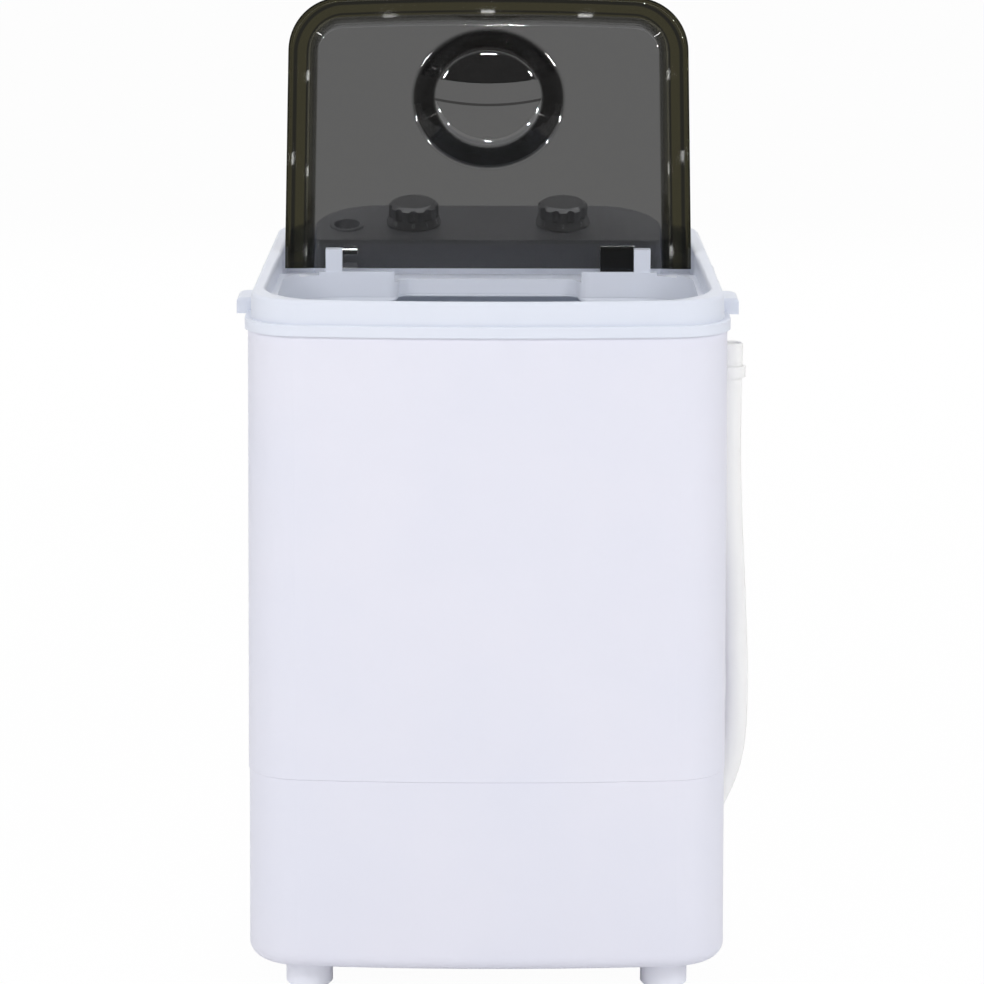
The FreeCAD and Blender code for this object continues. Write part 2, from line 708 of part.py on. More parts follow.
def top_frame():
    band = BODY.prism(-BAND_OUTSET, FRAME_Z - BAND_DROP, LEDGE_Z)
    band = band.makeFillet(BAND_OUTSET / 2, level_edges(band, LEDGE_Z))
    shelf = COLLAR.prism(RIM_INSET - FRAME_WALL, FRAME_Z, SHELF_Z)
    hinge_bed = box(
        -HALF_WIDTH + MOUTH_SIDE / 2, HALF_WIDTH - MOUTH_SIDE / 2,
        PIN_Y - LUG_FRONT + LIP_THICKNESS, CONSOLE_Y + CONSOLE_FRONT_RADIUS, DECK_Z, HIGH,
    ).common(COLLAR.prism(RIM_INSET, DECK_Z, SHELF_Z))
    pocket_z = SHELF_Z - POCKET_DROP
    corner_pocket = box(
        LUG_INNER + LUG_WIDTH + 2 * LIP_THICKNESS, HALF_WIDTH - MOUTH_SIDE / 2,
        PIN_Y - LUG_FRONT - POCKET_REACH, PIN_Y, pocket_z, SHELF_Z,
    ).common(COLLAR.prism(RIM_INSET, pocket_z, SHELF_Z))
    middle_z = SHELF_Z - POCKET_DROP * 2
    half = MIDDLE_RECESS_WIDTH / 2 + FRAME_WALL
    middle_pocket = box(-half, half, PIN_Y - LUG_FRONT, CONSOLE_Y, middle_z, SHELF_Z)
    solid = fused(band, collar_ring(), shelf, grip(), mirrored(grip()))
    solid = solid.cut(Part.makeCompound([hinge_bed, corner_pocket, mirrored(corner_pocket), middle_pocket]))

    console = CONSOLE.prism(0, FRAME_Z, HIGH).cut(above_console(PANEL_THICKNESS))
    skirt = mouth(FRAME_WALL, FRAME_Z - MOUTH_SKIRT, FRAME_Z)
    solid = fused(solid, console, lug(), mirrored(lug()), skirt)

    cavity = CONSOLE.prism(FRAME_WALL, DECK_Z, HIGH)
    seat = BODY.prism(-LOOSE_CLEARANCE, FRAME_Z - BAND_DROP, FRAME_Z)
    seat = seat.cut(mouth(FRAME_WALL, FRAME_Z - MOUTH_SKIRT, FRAME_Z))
    outer_wall = COLLAR_INSET + COLLAR_LEAN + FRAME_WALL
    under_shelf = COLLAR.prism(outer_wall, FRAME_Z, SHELF_Z - FRAME_WALL)
    under_shelf = under_shelf.cut(mouth(FRAME_WALL, FRAME_Z, SHELF_Z))
    rear_land = box(-CABINET_WIDTH, CABINET_WIDTH, PIN_Y - LUG_FRONT * 2, REAR, FRAME_Z, SHELF_Z)
    under_shelf = under_shelf.cut(rear_land)
    under_rim = COLLAR.prism(outer_wall, FRAME_Z, RIM_FRONT_Z - RIM_ROUNDING)
    under_rim = under_rim.cut(COLLAR.prism(RIM_INSET - FRAME_WALL, FRAME_Z, RIM_FRONT_Z - RIM_ROUNDING))
    reach = LUG_INNER + LUG_WIDTH
    cuts = [
        mouth(0.0, FRAME_Z - MOUTH_SKIRT, SHELF_Z), cavity, seat, under_shelf, under_rim,
        pin_bar(PIN_DIAMETER, LUG_INNER, reach), pin_bar(PIN_DIAMETER, -reach, -LUG_INNER),
        inlet_bar(INLET_BORE + 2 * INLET_WALL + LOOSE_CLEARANCE, FRAME_Z, HIGH), loom_hole(),
    ]
    return solid.cut(Part.makeCompound(cuts))


# Console: panel, knobs, timer, selector and water inlet

def panel_tilt():
    return math.atan2(CONSOLE_REAR_RISE - CONSOLE_FRONT_RISE, CONSOLE_LENGTH)


def on_panel(shape, x, reach=CONSOLE_LENGTH / 2):
    """Stand a shape made about the Z axis on the panel's face, square to it, reach behind the front edge."""
    rise = CONSOLE_FRONT_RISE + reach * math.tan(panel_tilt())
    shape.rotate(V(0, 0, 0), X_AXIS, math.degrees(panel_tilt()))
    shape.translate(V(x, CONSOLE_Y + reach, FRAME_Z + rise))
    return shape


def control_places():
    return (-KNOB_SPACING / 2, KNOB_SPACING / 2)


def inlet_bar(diameter, low, high):
    """An upright round bar on the water inlet's axis."""
    return cylinder(diameter, low, high, INLET_OFFSET, CONSOLE_Y + INLET_REACH)


def control_panel():
    slab = CONSOLE.prism(0, FRAME_Z, HIGH).cut(above_console(0)).common(above_console(PANEL_THICKNESS))
    clear = CONTROL_SHAFT_DIAMETER + 2 * RUNNING_CLEARANCE
    holes = [on_panel(cylinder(clear, -PANEL_THICKNESS * 2, KNOB_GAP), x) for x in control_places()]
    holes.append(inlet_bar(INLET_BORE + 2 * INLET_WALL, FRAME_Z, HIGH))
    return slab.cut(Part.makeCompound(holes))


def knob(turn):
    """A fluted knob about Z on a flared skirt, its first flute turned by an angle from +X."""
    skirt = SKIRT_DIAMETER / 2
    foot = KNOB_DIAMETER / 2
    top = KNOB_TOP_DIAMETER / 2
    bore = CONTROL_SHAFT_DIAMETER / 2
    high = KNOB_GAP + KNOB_HEIGHT
    body = revolved([
        (0, high - PANEL_THICKNESS), (bore, high - PANEL_THICKNESS), (bore, KNOB_GAP), (skirt, KNOB_GAP),
        (skirt, KNOB_GAP + SKIRT_EDGE), (foot, KNOB_GAP + SKIRT_HEIGHT),
        (foot, high - KNOB_TOP_CHAMFER), (top, high), (0, high),
    ])

    def flute():
        return cylinder(KNOB_FLUTE_DIAMETER, KNOB_GAP + SKIRT_HEIGHT, high, foot + KNOB_FLUTE_STANDOFF)

    body = body.cut(Part.makeCompound(ring_of(KNOB_FLUTES, flute)))
    return body.rotated(V(0, 0, 0), Z_AXIS, turn)


def control_shaft(depth):
    return cylinder(CONTROL_SHAFT_DIAMETER, -depth, KNOB_GAP + KNOB_HEIGHT - PANEL_THICKNESS)


def shaft_bore(depth):
    return cylinder(CONTROL_SHAFT_DIAMETER + 2 * RUNNING_CLEARANCE, -depth, 0)


def wash_timer():
    top = -PANEL_THICKNESS
    low = top - TIMER_DEPTH
    can = cylinder(TIMER_DIAMETER, low, top)
    ears = box(
        -TIMER_DIAMETER / 2 - SCREW_HEAD_DIAMETER, TIMER_DIAMETER / 2 + SCREW_HEAD_DIAMETER,
        -SCREW_HEAD_DIAMETER, SCREW_HEAD_DIAMETER, top - FRAME_WALL, top,
    )
    return fused(can, ears).cut(shaft_bore(TIMER_DEPTH))


def selector_switch():
    top = -PANEL_THICKNESS
    half = SELECTOR_WIDTH / 2
    case = box(-half, half, -half, half, top - SELECTOR_DEPTH, top)
    case = case.makeFillet(FRAME_WALL, upright_edges(case))
    ears = box(
        -half - SCREW_HEAD_DIAMETER, half + SCREW_HEAD_DIAMETER,
        -SCREW_HEAD_DIAMETER, SCREW_HEAD_DIAMETER, top - FRAME_WALL, top,
    )
    return fused(case, ears).cut(shaft_bore(SELECTOR_DEPTH))


def water_inlet():
    """The hose socket: an upright tube from the deck up to a flange that lies on the panel's face."""
    socket = inlet_bar(INLET_BORE + 2 * INLET_WALL, FRAME_Z, HIGH).cut(above_console(0))
    flange = cylinder(INLET_FLANGE, 0, INLET_FLANGE_THICKNESS)
    flange = flange.makeFillet(INLET_FLANGE_THICKNESS / 2, level_edges(flange, INLET_FLANGE_THICKNESS))
    body = fused(socket, on_panel(flange, INLET_OFFSET, INLET_REACH))
    return body.cut(inlet_bar(INLET_BORE, FRAME_Z, HIGH))


# Lid, made closed over the mouth and then turned open about the hinge pins

# Its outline runs on past the hinge, where the lid is cut off square
LID = Plan(
    LID_HALF_FRONT, LID_HALF_REAR, PIN_Y - LID_REACH, PIN_Y + LID_TAIL + 2 * LID_CORNER_RADIUS,
    LID_CORNER_RADIUS, LID_CORNER_RADIUS, LID_CROWN_RADIUS,
)


def opened(shape):
    return shape.rotated(V(0, PIN_Y, PIN_Z), X_AXIS, -LID_OPEN_ANGLE)


def recess(margin, low, high):
    """The oval finger recess, grown by margin, between two heights of the closed lid."""
    top = PIN_Z + LID_PLATE_RISE + LID_WALL
    wires = []
    for z in (low, high):
        inward = RECESS_SLOPE * (top - z) / RECESS_DEPTH - margin
        curve = Part.Ellipse(V(0, 0, 0), RECESS_WIDTH / 2 - inward, RECESS_LENGTH / 2 - inward)
        oval = curve.toShape()
        oval.translate(V(0, PIN_Y - RECESS_CENTRE, z))
        wires.append(Part.Wire(oval))
    return Part.makeLoft(wires, True, True)


def ahead_of_arc(offset, sag, low, high):
    """Everything in front of an arc across the recess, between two heights of the closed lid."""
    half = RECESS_WIDTH / 2
    edge_y = PIN_Y - RECESS_CENTRE - offset
    front = edge_y - RECESS_LENGTH
    edge = Part.Arc(V(-half, edge_y, low), V(0, edge_y + sag, low), V(half, edge_y, low)).toShape()
    corners = [V(half, edge_y, low), V(half, front, low), V(-half, front, low), V(-half, edge_y, low)]
    outline = Part.Wire([edge] + Part.makePolygon(corners).Edges)
    return Part.Face(outline).extrude(V(0, 0, high - low))


def grip_lip():
    """The lip over the recess's front part that the fingers pull on."""
    top = PIN_Z + LID_PLATE_RISE + LID_WALL
    low = top - LID_WALL
    return recess(0, low, top).common(ahead_of_arc(GRIP_LIP_OFFSET, GRIP_LIP_SAG, low, top))


def cup_ridge(floor):
    """A low curved ridge across the recess's floor, for the fingertips."""
    high = floor + RIDGE_HEIGHT
    band = ahead_of_arc(RIDGE_OFFSET, RIDGE_SAG, floor, high)
    return band.cut(ahead_of_arc(RIDGE_OFFSET + RIDGE_WIDTH, RIDGE_SAG, floor, high))


def hinge_lobe(x0, x1, tail):
    """A block under the lid's plate that the hinge pin passes through."""
    top = PIN_Z + LID_PLATE_RISE
    low = PIN_Z - HINGE_BLOCK_DROP
    lobe = box(x0, x1, PIN_Y - HINGE_BLOCK_NOSE, PIN_Y + tail, low, top)
    return lobe.makeFillet(HINGE_BLOCK_ROUNDING, level_edges_along_x(lobe, low))


def level_edges_along_x(shape, z):
    found = []
    for edge in level_edges(shape, z):
        if abs(edge.Vertexes[0].Y - edge.Vertexes[1].Y) < TOUCHING:
            found.append(edge)
    return found


def lid():
    plate_top = PIN_Z + LID_PLATE_RISE + LID_WALL
    flange_top = PIN_Z - LID_FLANGE_DROP
    flange_low = flange_top - LID_WALL
    skirt_low = SHELF_Z + LID_REST_GAP
    step_foot = LID_FLANGE
    step_head = LID_FLANGE + LID_STEP
    tail = box(-CABINET_WIDTH, CABINET_WIDTH, PIN_Y + LID_TAIL, REAR * 2, FRAME_Z, HIGH)

    flange = LID.prism(0, skirt_low, flange_top)
    flange = flange.makeFillet(LID_EDGE_ROLL, level_edges(flange, flange_top))
    inside = LID.prism(LID_WALL, skirt_low, flange_low)
    inside = inside.makeFillet(LID_INNER_ROLL, level_edges(inside, flange_low))
    bead_low = flange_low - LID_BEAD_HEIGHT
    bead = LID.prism(step_foot, bead_low, flange_low)
    bead = bead.cut(LID.prism(step_foot + LID_BEAD_WIDTH, bead_low, flange_low))
    flange = fused(flange.cut(inside), bead)
    heel_y = PIN_Y + LID_TAIL
    heel = Part.makePolygon([
        V(-CABINET_WIDTH, PIN_Y - LID_HEEL_START, skirt_low),
        V(-CABINET_WIDTH, heel_y, PIN_Z - LID_SKIRT_HEEL),
        V(-CABINET_WIDTH, heel_y, FRAME_Z), V(-CABINET_WIDTH, PIN_Y - LID_HEEL_START, FRAME_Z),
        V(-CABINET_WIDTH, PIN_Y - LID_HEEL_START, skirt_low),
    ])
    flange = flange.cut(Part.Face(heel).extrude(V(CABINET_WIDTH * 2, 0, 0)))

    raised = LID.tapered(step_foot, flange_low, step_head, plate_top)
    raised = raised.makeFillet(LID_STEP_ROLL, level_edges(raised, plate_top))
    plate_low = plate_top - LID_WALL
    hollow = LID.tapered(step_foot + LID_WALL, flange_low, step_head + LID_WALL, plate_low)
    hollow = hollow.makeFillet(LID_STEP_ROLL - LID_WALL, level_edges(hollow, plate_low))
    body = fused(flange.cut(LID.prism(step_foot + LID_WALL, skirt_low, flange_top)), raised)
    body = body.cut(Part.makeCompound([hollow, tail]))

    cup_low = plate_top - RECESS_DEPTH
    cup = recess(0, cup_low - LID_WALL, plate_top)
    cup = cup.makeFillet(CUP_FLOOR_ROLL, level_edges(cup, cup_low - LID_WALL))
    body = fused(body, cup)
    neck = [e for e in level_edges(body, plate_low) if e.isClosed()]
    body = body.Solids[0].makeFillet(CUP_NECK_ROLL, neck)
    cup_hollow = recess(-LID_WALL, cup_low, plate_top)
    cup_hollow = cup_hollow.makeFillet(CUP_FLOOR_ROLL - LID_WALL, level_edges(cup_hollow, cup_low))
    body = body.cut(cup_hollow)
    boss = hinge_lobe(-LUG_INNER + LOOSE_CLEARANCE, -LUG_INNER + HINGE_BOSS_WIDTH, LID_TAIL)
    body = fused(body, grip_lip(), cup_ridge(cup_low).common(cup_hollow), boss)
    clear = PIN_DIAMETER + 2 * RUNNING_CLEARANCE
    return opened(body.cut(pin_bar(clear, -LUG_INNER, 0)))


def hinge_block():
    x1 = LUG_INNER - LOOSE_CLEARANCE
    block = hinge_lobe(x1 - HINGE_BLOCK_WIDTH, x1, HINGE_BLOCK_TAIL)
    return opened(block.cut(pin_bar(PIN_DIAMETER + 2 * RUNNING_CLEARANCE, 0, LUG_INNER)))


def hinge_pins():
    inner = LUG_INNER - HINGE_BOSS_WIDTH
    right = pin_bar(PIN_DIAMETER, inner, LUG_INNER + LUG_WIDTH)
    return [right, mirrored(right)]


# Tub, pulsator and its bearing

def wash_tub():
    flange = BODY.prism(0.0, CABINET_TOP, FRAME_Z)
    outer = TUB.tapered(TUB_DRAFT_INSET, TUB_FLOOR_Z, 0.0, FRAME_Z)
    outer = outer.makeFillet(TUB_BOTTOM_RADIUS, level_edges(outer, TUB_FLOOR_Z))
    floor_z = TUB_FLOOR_Z + TUB_FLOOR
    inner = TUB.tapered(TUB_DRAFT_INSET + TUB_WALL, floor_z, TUB_WALL, FRAME_Z)
    inner = inner.makeFillet(TUB_BOTTOM_RADIUS - TUB_WALL, level_edges(inner, floor_z))
    well = cylinder(WELL_DIAMETER + 2 * TUB_WALL, WELL_Z - TUB_FLOOR, floor_z)
    tub = fused(flange, outer, well)
    cuts = [
        inner, loom_hole(), cylinder(WELL_DIAMETER, WELL_Z, floor_z),
        cylinder(HOUSING_DIAMETER, WELL_Z - TUB_FLOOR, WELL_Z),
        cylinder(HOSE_BORE, TUB_FLOOR_Z, floor_z, DRAIN_X, HOSE_Y),
    ]
    for x, y in bearing_screw_places():
        cuts.append(cylinder(SCREW_DIAMETER, WELL_Z - TUB_FLOOR, WELL_Z, x, y))
    return tub.cut(Part.makeCompound(cuts))


def drain_strainer():
    low = TUB_FLOOR_Z + TUB_FLOOR
    cap = cylinder(PIPE_FLANGE, low, low + TUB_WALL, DRAIN_X, HOSE_Y)
    cap = cap.makeFillet(TUB_WALL / 2, level_edges(cap, low + TUB_WALL))
    places = [(DRAIN_X, HOSE_Y)]
    for index in range(STRAINER_HOLES):
        turn = 2 * math.pi * index / STRAINER_HOLES
        x = DRAIN_X + STRAINER_RING_RADIUS * math.cos(turn)
        places.append((x, HOSE_Y + STRAINER_RING_RADIUS * math.sin(turn)))
    holes = [cylinder(STRAINER_HOLE_DIAMETER, low, low + TUB_WALL, x, y) for x, y in places]
    return cap.cut(Part.makeCompound(holes))


def shaft_top():
    return WELL_Z + PULSATOR_GAP + PULSATOR_THICKNESS + VANE_HEIGHT / 2


def pulsator():
    low = WELL_Z + PULSATOR_GAP
    rim = low + PULSATOR_THICKNESS
    radius = PULSATOR_DIAMETER / 2
    hub = PULSATOR_HUB / 2
    top = shaft_top() + PULSATOR_THICKNESS
    disc = revolved([
        (0, low), (radius, low), (radius, rim - PULSATOR_EDGE), (radius - PULSATOR_EDGE, rim),
        (hub + VANE_HEIGHT, rim), (hub, top - PULSATOR_HUB_SHOULDER),
        (hub - PULSATOR_HUB_EDGE, top), (0, top),
    ])

    def vane():
        half = VANE_THICKNESS / 2
        foot = Plan(half, half, hub / 2, radius - VANE_END_GAP, VANE_NOSE_RADIUS, VANE_TIP_RADIUS)
        return foot.tapered(0, rim - VANE_ROOT, VANE_LEAN, rim + VANE_HEIGHT)

    wheel = fused(disc, *ring_of(VANE_COUNT, vane))
    bore = cylinder(SHAFT_DIAMETER, low, shaft_top())
    return wheel.cut(fused(bore, cylinder(SCREW_DIAMETER, low, top)))


def pulsator_screw():
    top = shaft_top() + PULSATOR_THICKNESS
    return placed(screw(top - shaft_top() + SHAFT_DIAMETER), 0, 0, top)


def pulsator_shaft():
    bar = cylinder(SHAFT_DIAMETER, nut_low(), shaft_top())
    return bar.cut(cylinder(SCREW_DIAMETER, shaft_top() - SHAFT_DIAMETER, shaft_top()))


def housing_low():
    return WELL_Z - TUB_FLOOR - HOUSING_LENGTH


def bearing_housing():
    under = WELL_Z - TUB_FLOOR
    body = cylinder(HOUSING_DIAMETER, housing_low(), WELL_Z)
    flange = cylinder(HOUSING_FLANGE_DIAMETER, under - HOUSING_FLANGE_THICKNESS, under)

    def rib():
        rib_top = under - HOUSING_FLANGE_THICKNESS
        rib_low = housing_low() + HOUSING_FLANGE_THICKNESS
        rib_reach = HOUSING_FLANGE_DIAMETER / 2 - HOUSING_RIB_INSET
        outline = [(0, rib_top), (rib_reach, rib_top), (HOUSING_DIAMETER / 2, rib_low), (0, rib_low)]
        points = [V(x, -FRAME_WALL / 2, z) for x, z in outline]
        return Part.Face(Part.makePolygon(points + points[:1])).extrude(V(0, FRAME_WALL, 0))

    body = fused(body, flange, *ring_of(HOUSING_RIBS, rib))
    cuts = [
        cylinder(BUSH_DIAMETER, housing_low(), WELL_Z - SEAL_HEIGHT),
        cylinder(SEAL_DIAMETER, WELL_Z - SEAL_HEIGHT, WELL_Z),
    ]
    for x, y in bearing_screw_places():
        cuts.append(cylinder(SCREW_DIAMETER, under - HOUSING_FLANGE_THICKNESS, under, x, y))
    return body.cut(Part.makeCompound(cuts))


def bearing_screw_places():
    radius = (HOUSING_FLANGE_DIAMETER + HOUSING_DIAMETER) / 4
    turns = [2 * math.pi * (index + 0.5) / HOUSING_RIBS for index in range(HOUSING_RIBS)]
    return [(radius * math.cos(t), radius * math.sin(t)) for t in turns]


def bearing_screws():
    under = WELL_Z - TUB_FLOOR - HOUSING_FLANGE_THICKNESS
    fixing = screw(HOUSING_FLANGE_THICKNESS + TUB_FLOOR)
    fixing.rotate(V(0, 0, 0), X_AXIS, 180)
    return [placed(fixing, x, y, under) for x, y in bearing_screw_places()]


def bearing_bushes():
    inner = SHAFT_DIAMETER + 2 * RUNNING_CLEARANCE
    top = WELL_Z - SEAL_HEIGHT
    upper = tube(BUSH_DIAMETER, inner, top - BUSH_LENGTH, top)
    lower = tube(BUSH_DIAMETER, inner, housing_low(), housing_low() + BUSH_LENGTH)
    return [upper, lower]


def shaft_seal():
    inner = SHAFT_DIAMETER / 2 + RUNNING_CLEARANCE
    top = WELL_Z
    low = top - SEAL_HEIGHT
    outer = SEAL_DIAMETER / 2
    waist = inner + (outer - inner) / 2
    return revolved([
        (inner, low), (outer, low), (outer, top), (waist + SEAL_LIP, top),
        (waist, top - SEAL_HEIGHT / 2), (inner + 2 * SEAL_LIP, top - SEAL_LIP), (inner, top - SEAL_LIP),
    ])


# Drive: pulleys, belt, motor and its bracket

def pulley_top():
    return housing_low() - PULLEY_GAP


def pulley_low():
    return pulley_top() - PULLEY_WIDTH


def nut_low():
    return pulley_low() - SHAFT_DIAMETER


def groove_middle():
    return (pulley_top() + pulley_low()) / 2


def sheave(diameter):
    """A solid V-groove pulley about Z."""
    radius = diameter / 2
    mouth_half = BELT_WIDTH / 2 + LOOSE_CLEARANCE
    root_half = mouth_half - GROOVE_DEPTH * math.tan(math.radians(GROOVE_HALF_ANGLE))
    middle = groove_middle()
    return revolved([
        (0, pulley_low()), (radius, pulley_low()), (radius, middle - mouth_half),
        (radius - GROOVE_DEPTH, middle - root_half), (radius - GROOVE_DEPTH, middle + root_half),
        (radius, middle + mouth_half), (radius, pulley_top()), (0, pulley_top()),
    ])


def drive_pulley():
    wheel = sheave(DRIVE_PULLEY_DIAMETER)
    rim = DRIVE_PULLEY_DIAMETER / 2 - GROOVE_DEPTH - PULLEY_RIM
    hub = PULLEY_HUB_DIAMETER / 2
    web = PULLEY_WIDTH / 3
    upper = tube(2 * rim, 2 * hub, pulley_top() - web, pulley_top())
    lower = tube(2 * rim, 2 * hub, pulley_low(), pulley_low() + web)
    middle = (rim + hub) / 2
    holes = ring_of(PULLEY_HOLES, lambda: cylinder(PULLEY_HOLE_DIAMETER, pulley_low(), pulley_top(), middle))
    cuts = [upper, lower, cylinder(SHAFT_DIAMETER, pulley_low(), pulley_top())] + holes
    return wheel.cut(Part.makeCompound(cuts))


def pulley_nut():
    radius = NUT_DIAMETER / 2
    corners = []
    for index in range(NUT_SIDES + 1):
        turn = 2 * math.pi * index / NUT_SIDES
        corners.append(V(radius * math.cos(turn), radius * math.sin(turn), nut_low()))
    nut = Part.Face(Part.makePolygon(corners)).extrude(V(0, 0, pulley_low() - nut_low()))
    return nut.cut(cylinder(SHAFT_DIAMETER, nut_low(), pulley_low()))


def drive_belt():
    """An endless V belt round both pulleys, standing a clearance off the grooves."""
    middle = groove_middle()
    top_half = BELT_WIDTH / 2 - LOOSE_CLEARANCE
    root_half = top_half - BELT_HEIGHT * math.tan(math.radians(GROOVE_HALF_ANGLE))
    section = [(0.0, -top_half), (0.0, top_half), (BELT_HEIGHT, root_half), (BELT_HEIGHT, -root_half)]
    loops = [belt_wire(inset, middle + z) for inset, z in section]
    return Part.makeLoft(loops, True, True, True)


def belt_wire(inset, z):
    big = DRIVE_PULLEY_DIAMETER / 2 - inset
    small = MOTOR_PULLEY_DIAMETER / 2 - inset
    lean = math.asin((big - small) / MOTOR_OFFSET)
    up = V(-math.sin(lean), math.cos(lean), 0)
    down = V(up.x, -up.y, 0)
    lift = V(0, 0, z)
    motor = V(-MOTOR_OFFSET, 0, z)
    edges = [
        Part.LineSegment(lift + up * big, motor + up * small).toShape(),
        Part.Arc(motor + up * small, motor + V(-small, 0, 0), motor + down * small).toShape(),
        Part.LineSegment(motor + down * small, lift + down * big).toShape(),
        Part.Arc(lift + down * big, lift + V(big, 0, 0), lift + up * big).toShape(),
    ]
    return Part.Wire(edges)


def motor_top():
    return pulley_low() - MOTOR_DROP


def motor_shaft():
    return cylinder(MOTOR_SHAFT_DIAMETER, motor_top() - MOTOR_HEIGHT / 2, pulley_top(), -MOTOR_OFFSET)


def motor_pulley():
    wheel = sheave(MOTOR_PULLEY_DIAMETER)
    bored = wheel.cut(cylinder(MOTOR_SHAFT_DIAMETER, pulley_low(), pulley_top()))
    return placed(bored, -MOTOR_OFFSET, 0, 0)


def motor():
    top = motor_top()
    low = top - MOTOR_HEIGHT
    radius = MOTOR_DIAMETER / 2
    waist = radius - MOTOR_WAIST_INSET
    shoulder = radius - MOTOR_SHOULDER_WIDTH
    can = revolved([
        (0, low), (shoulder, low), (radius, low + MOTOR_SHOULDER_HEIGHT), (radius, low + MOTOR_CAP_HEIGHT),
        (waist, low + MOTOR_CAP_HEIGHT), (waist, top - MOTOR_CAP_HEIGHT),
        (radius, top - MOTOR_CAP_HEIGHT), (radius, top - MOTOR_SHOULDER_HEIGHT), (shoulder, top), (0, top),
    ])
    boss = cylinder(MOTOR_BOSS_DIAMETER, top, top + MOTOR_BOSS_HEIGHT)
    clear = MOTOR_SHAFT_DIAMETER + 2 * RUNNING_CLEARANCE
    bore = cylinder(clear, low + MOTOR_HEIGHT / 4, top + MOTOR_BOSS_HEIGHT)
    return placed(fused(can, boss).cut(bore), -MOTOR_OFFSET, 0, 0)


def motor_screw_places():
    reach = MOTOR_DIAMETER / 4
    return [(sx * reach - MOTOR_OFFSET, sy * reach) for sx in (-1, 1) for sy in (-1, 1)]


def motor_bracket():
    """A folded steel bridge that stands on the base's floor and carries the motor under its top."""
    floor = BASE_Z + BASE_WALL
    top = motor_top() + BRACKET_SHEET
    half = BRACKET_SPAN / 2
    foot = half + BRACKET_FOOT
    s = BRACKET_SHEET
    outline = [
        (-foot, floor), (-half + s, floor), (-half + s, top - s), (half - s, top - s), (half - s, floor),
        (foot, floor), (foot, floor + s), (half, floor + s), (half, top), (-half, top),
        (-half, floor + s), (-foot, floor + s),
    ]
    x = -MOTOR_OFFSET - BRACKET_WIDTH / 2
    points = [V(x, y, z) for y, z in outline]
    bridge = Part.Face(Part.makePolygon(points + points[:1])).extrude(V(BRACKET_WIDTH, 0, 0))
    cuts = [cylinder(MOTOR_BOSS_DIAMETER, top - s, top, -MOTOR_OFFSET)]
    for px, py in motor_screw_places():
        cuts.append(cylinder(SCREW_DIAMETER, top - s, top, px, py))
    return bridge.cut(Part.makeCompound(cuts))


def motor_screws():
    fixing = screw(BRACKET_SHEET)
    return [placed(fixing, x, y, motor_top() + BRACKET_SHEET) for x, y in motor_screw_places()]


def capacitor():
    """The motor's run capacitor lying on the base's floor."""
    radius = CAPACITOR_DIAMETER / 2
    floor = BASE_Z + BASE_WALL
    x = DRAIN_X - CAPACITOR_LENGTH / 2
    y = -PLATE_DEPTH / 2 - radius
    can = Part.makeCylinder(radius, CAPACITOR_LENGTH, V(x, y, floor + radius + FRAME_WALL), X_AXIS)
    saddle_half = CAPACITOR_LENGTH / 6
    middle = x + CAPACITOR_LENGTH / 2
    saddle = box(
        middle - saddle_half, middle + saddle_half, y - radius, y + radius, floor, floor + radius + FRAME_WALL
    )
    return fused(can, saddle)


# Drain, hose and wiring

def hose_points():
    return [V(HALF_WIDTH + x, HOSE_Y, z) for x, z in HOSE_ROUTE]


def drain_hose():
    points = hose_points()
    path, radii = rounded_path(points)
    print("hose radii", [round(r) for r in radii], "length", round(path.Length, 1))
    bar = swept(path, HOSE_DIAMETER)
    bore = swept(path, HOSE_BORE)
    area = math.pi / 4 * (HOSE_DIAMETER ** 2 - HOSE_BORE ** 2)
    hose = bar.cut(bore)
    print("hose volume over section times length", round(hose.Volume / (area * path.Length), 4))
    return hose


def drain_pipe():
    """From the tub's floor down to the base and out into the hose's lower end."""
    start, following = hose_points()[:2]
    direction = (following - start).normalize()
    corner = start - direction * PIPE_BEND
    points = [
        V(DRAIN_X, HOSE_Y, TUB_FLOOR_Z + TUB_FLOOR), V(DRAIN_X, HOSE_Y, corner.z), corner,
        start + direction * PIPE_ENTRY,
    ]
    path, _ = rounded_path(points, PIPE_BEND)
    flange = cylinder(PIPE_FLANGE, TUB_FLOOR_Z - TUB_FLOOR, TUB_FLOOR_Z, DRAIN_X, HOSE_Y)
    return fused(swept(path, HOSE_BORE), flange).cut(swept(path, HOSE_BORE - 2 * PIPE_WALL))


def hose_clamp():
    start, following = hose_points()[:2]
    direction = (following - start).normalize()
    at = start + direction * (PIPE_ENTRY - CLAMP_WIDTH) / 2
    outer = Part.makeCylinder(HOSE_DIAMETER / 2 + CLAMP_WALL, CLAMP_WIDTH, at, direction)
    return outer.cut(Part.makeCylinder(HOSE_DIAMETER / 2, CLAMP_WIDTH, at, direction))


def hose_grommet():
    """A lipped oval sleeve that lines the slot in the base's wall."""
    z = hose_crossing()
    skin = BODY.tapered(body_inset(BASE_Z) + BASE_SETBACK, BASE_Z, body_inset(SEAM_Z) + BASE_SETBACK, SEAM_Z)
    skirt = hose_slot(0.0).cut(hose_slot(-GROMMET_LIP))
    inside = BODY.prism(body_inset(z) + BASE_SETBACK + BASE_WALL, BASE_Z, SEAM_Z)
    sleeve = skirt.common(skin).cut(inside)
    lip = hose_slot(GROMMET_LIP).cut(hose_slot(-GROMMET_LIP)).cut(skin)
    reach = side_at(z) + GROMMET_LIP / 2
    lip = lip.common(box(0, reach, -CABINET_DEPTH, CABINET_DEPTH, BASE_Z, SEAM_Z))
    return fused(sleeve, lip)


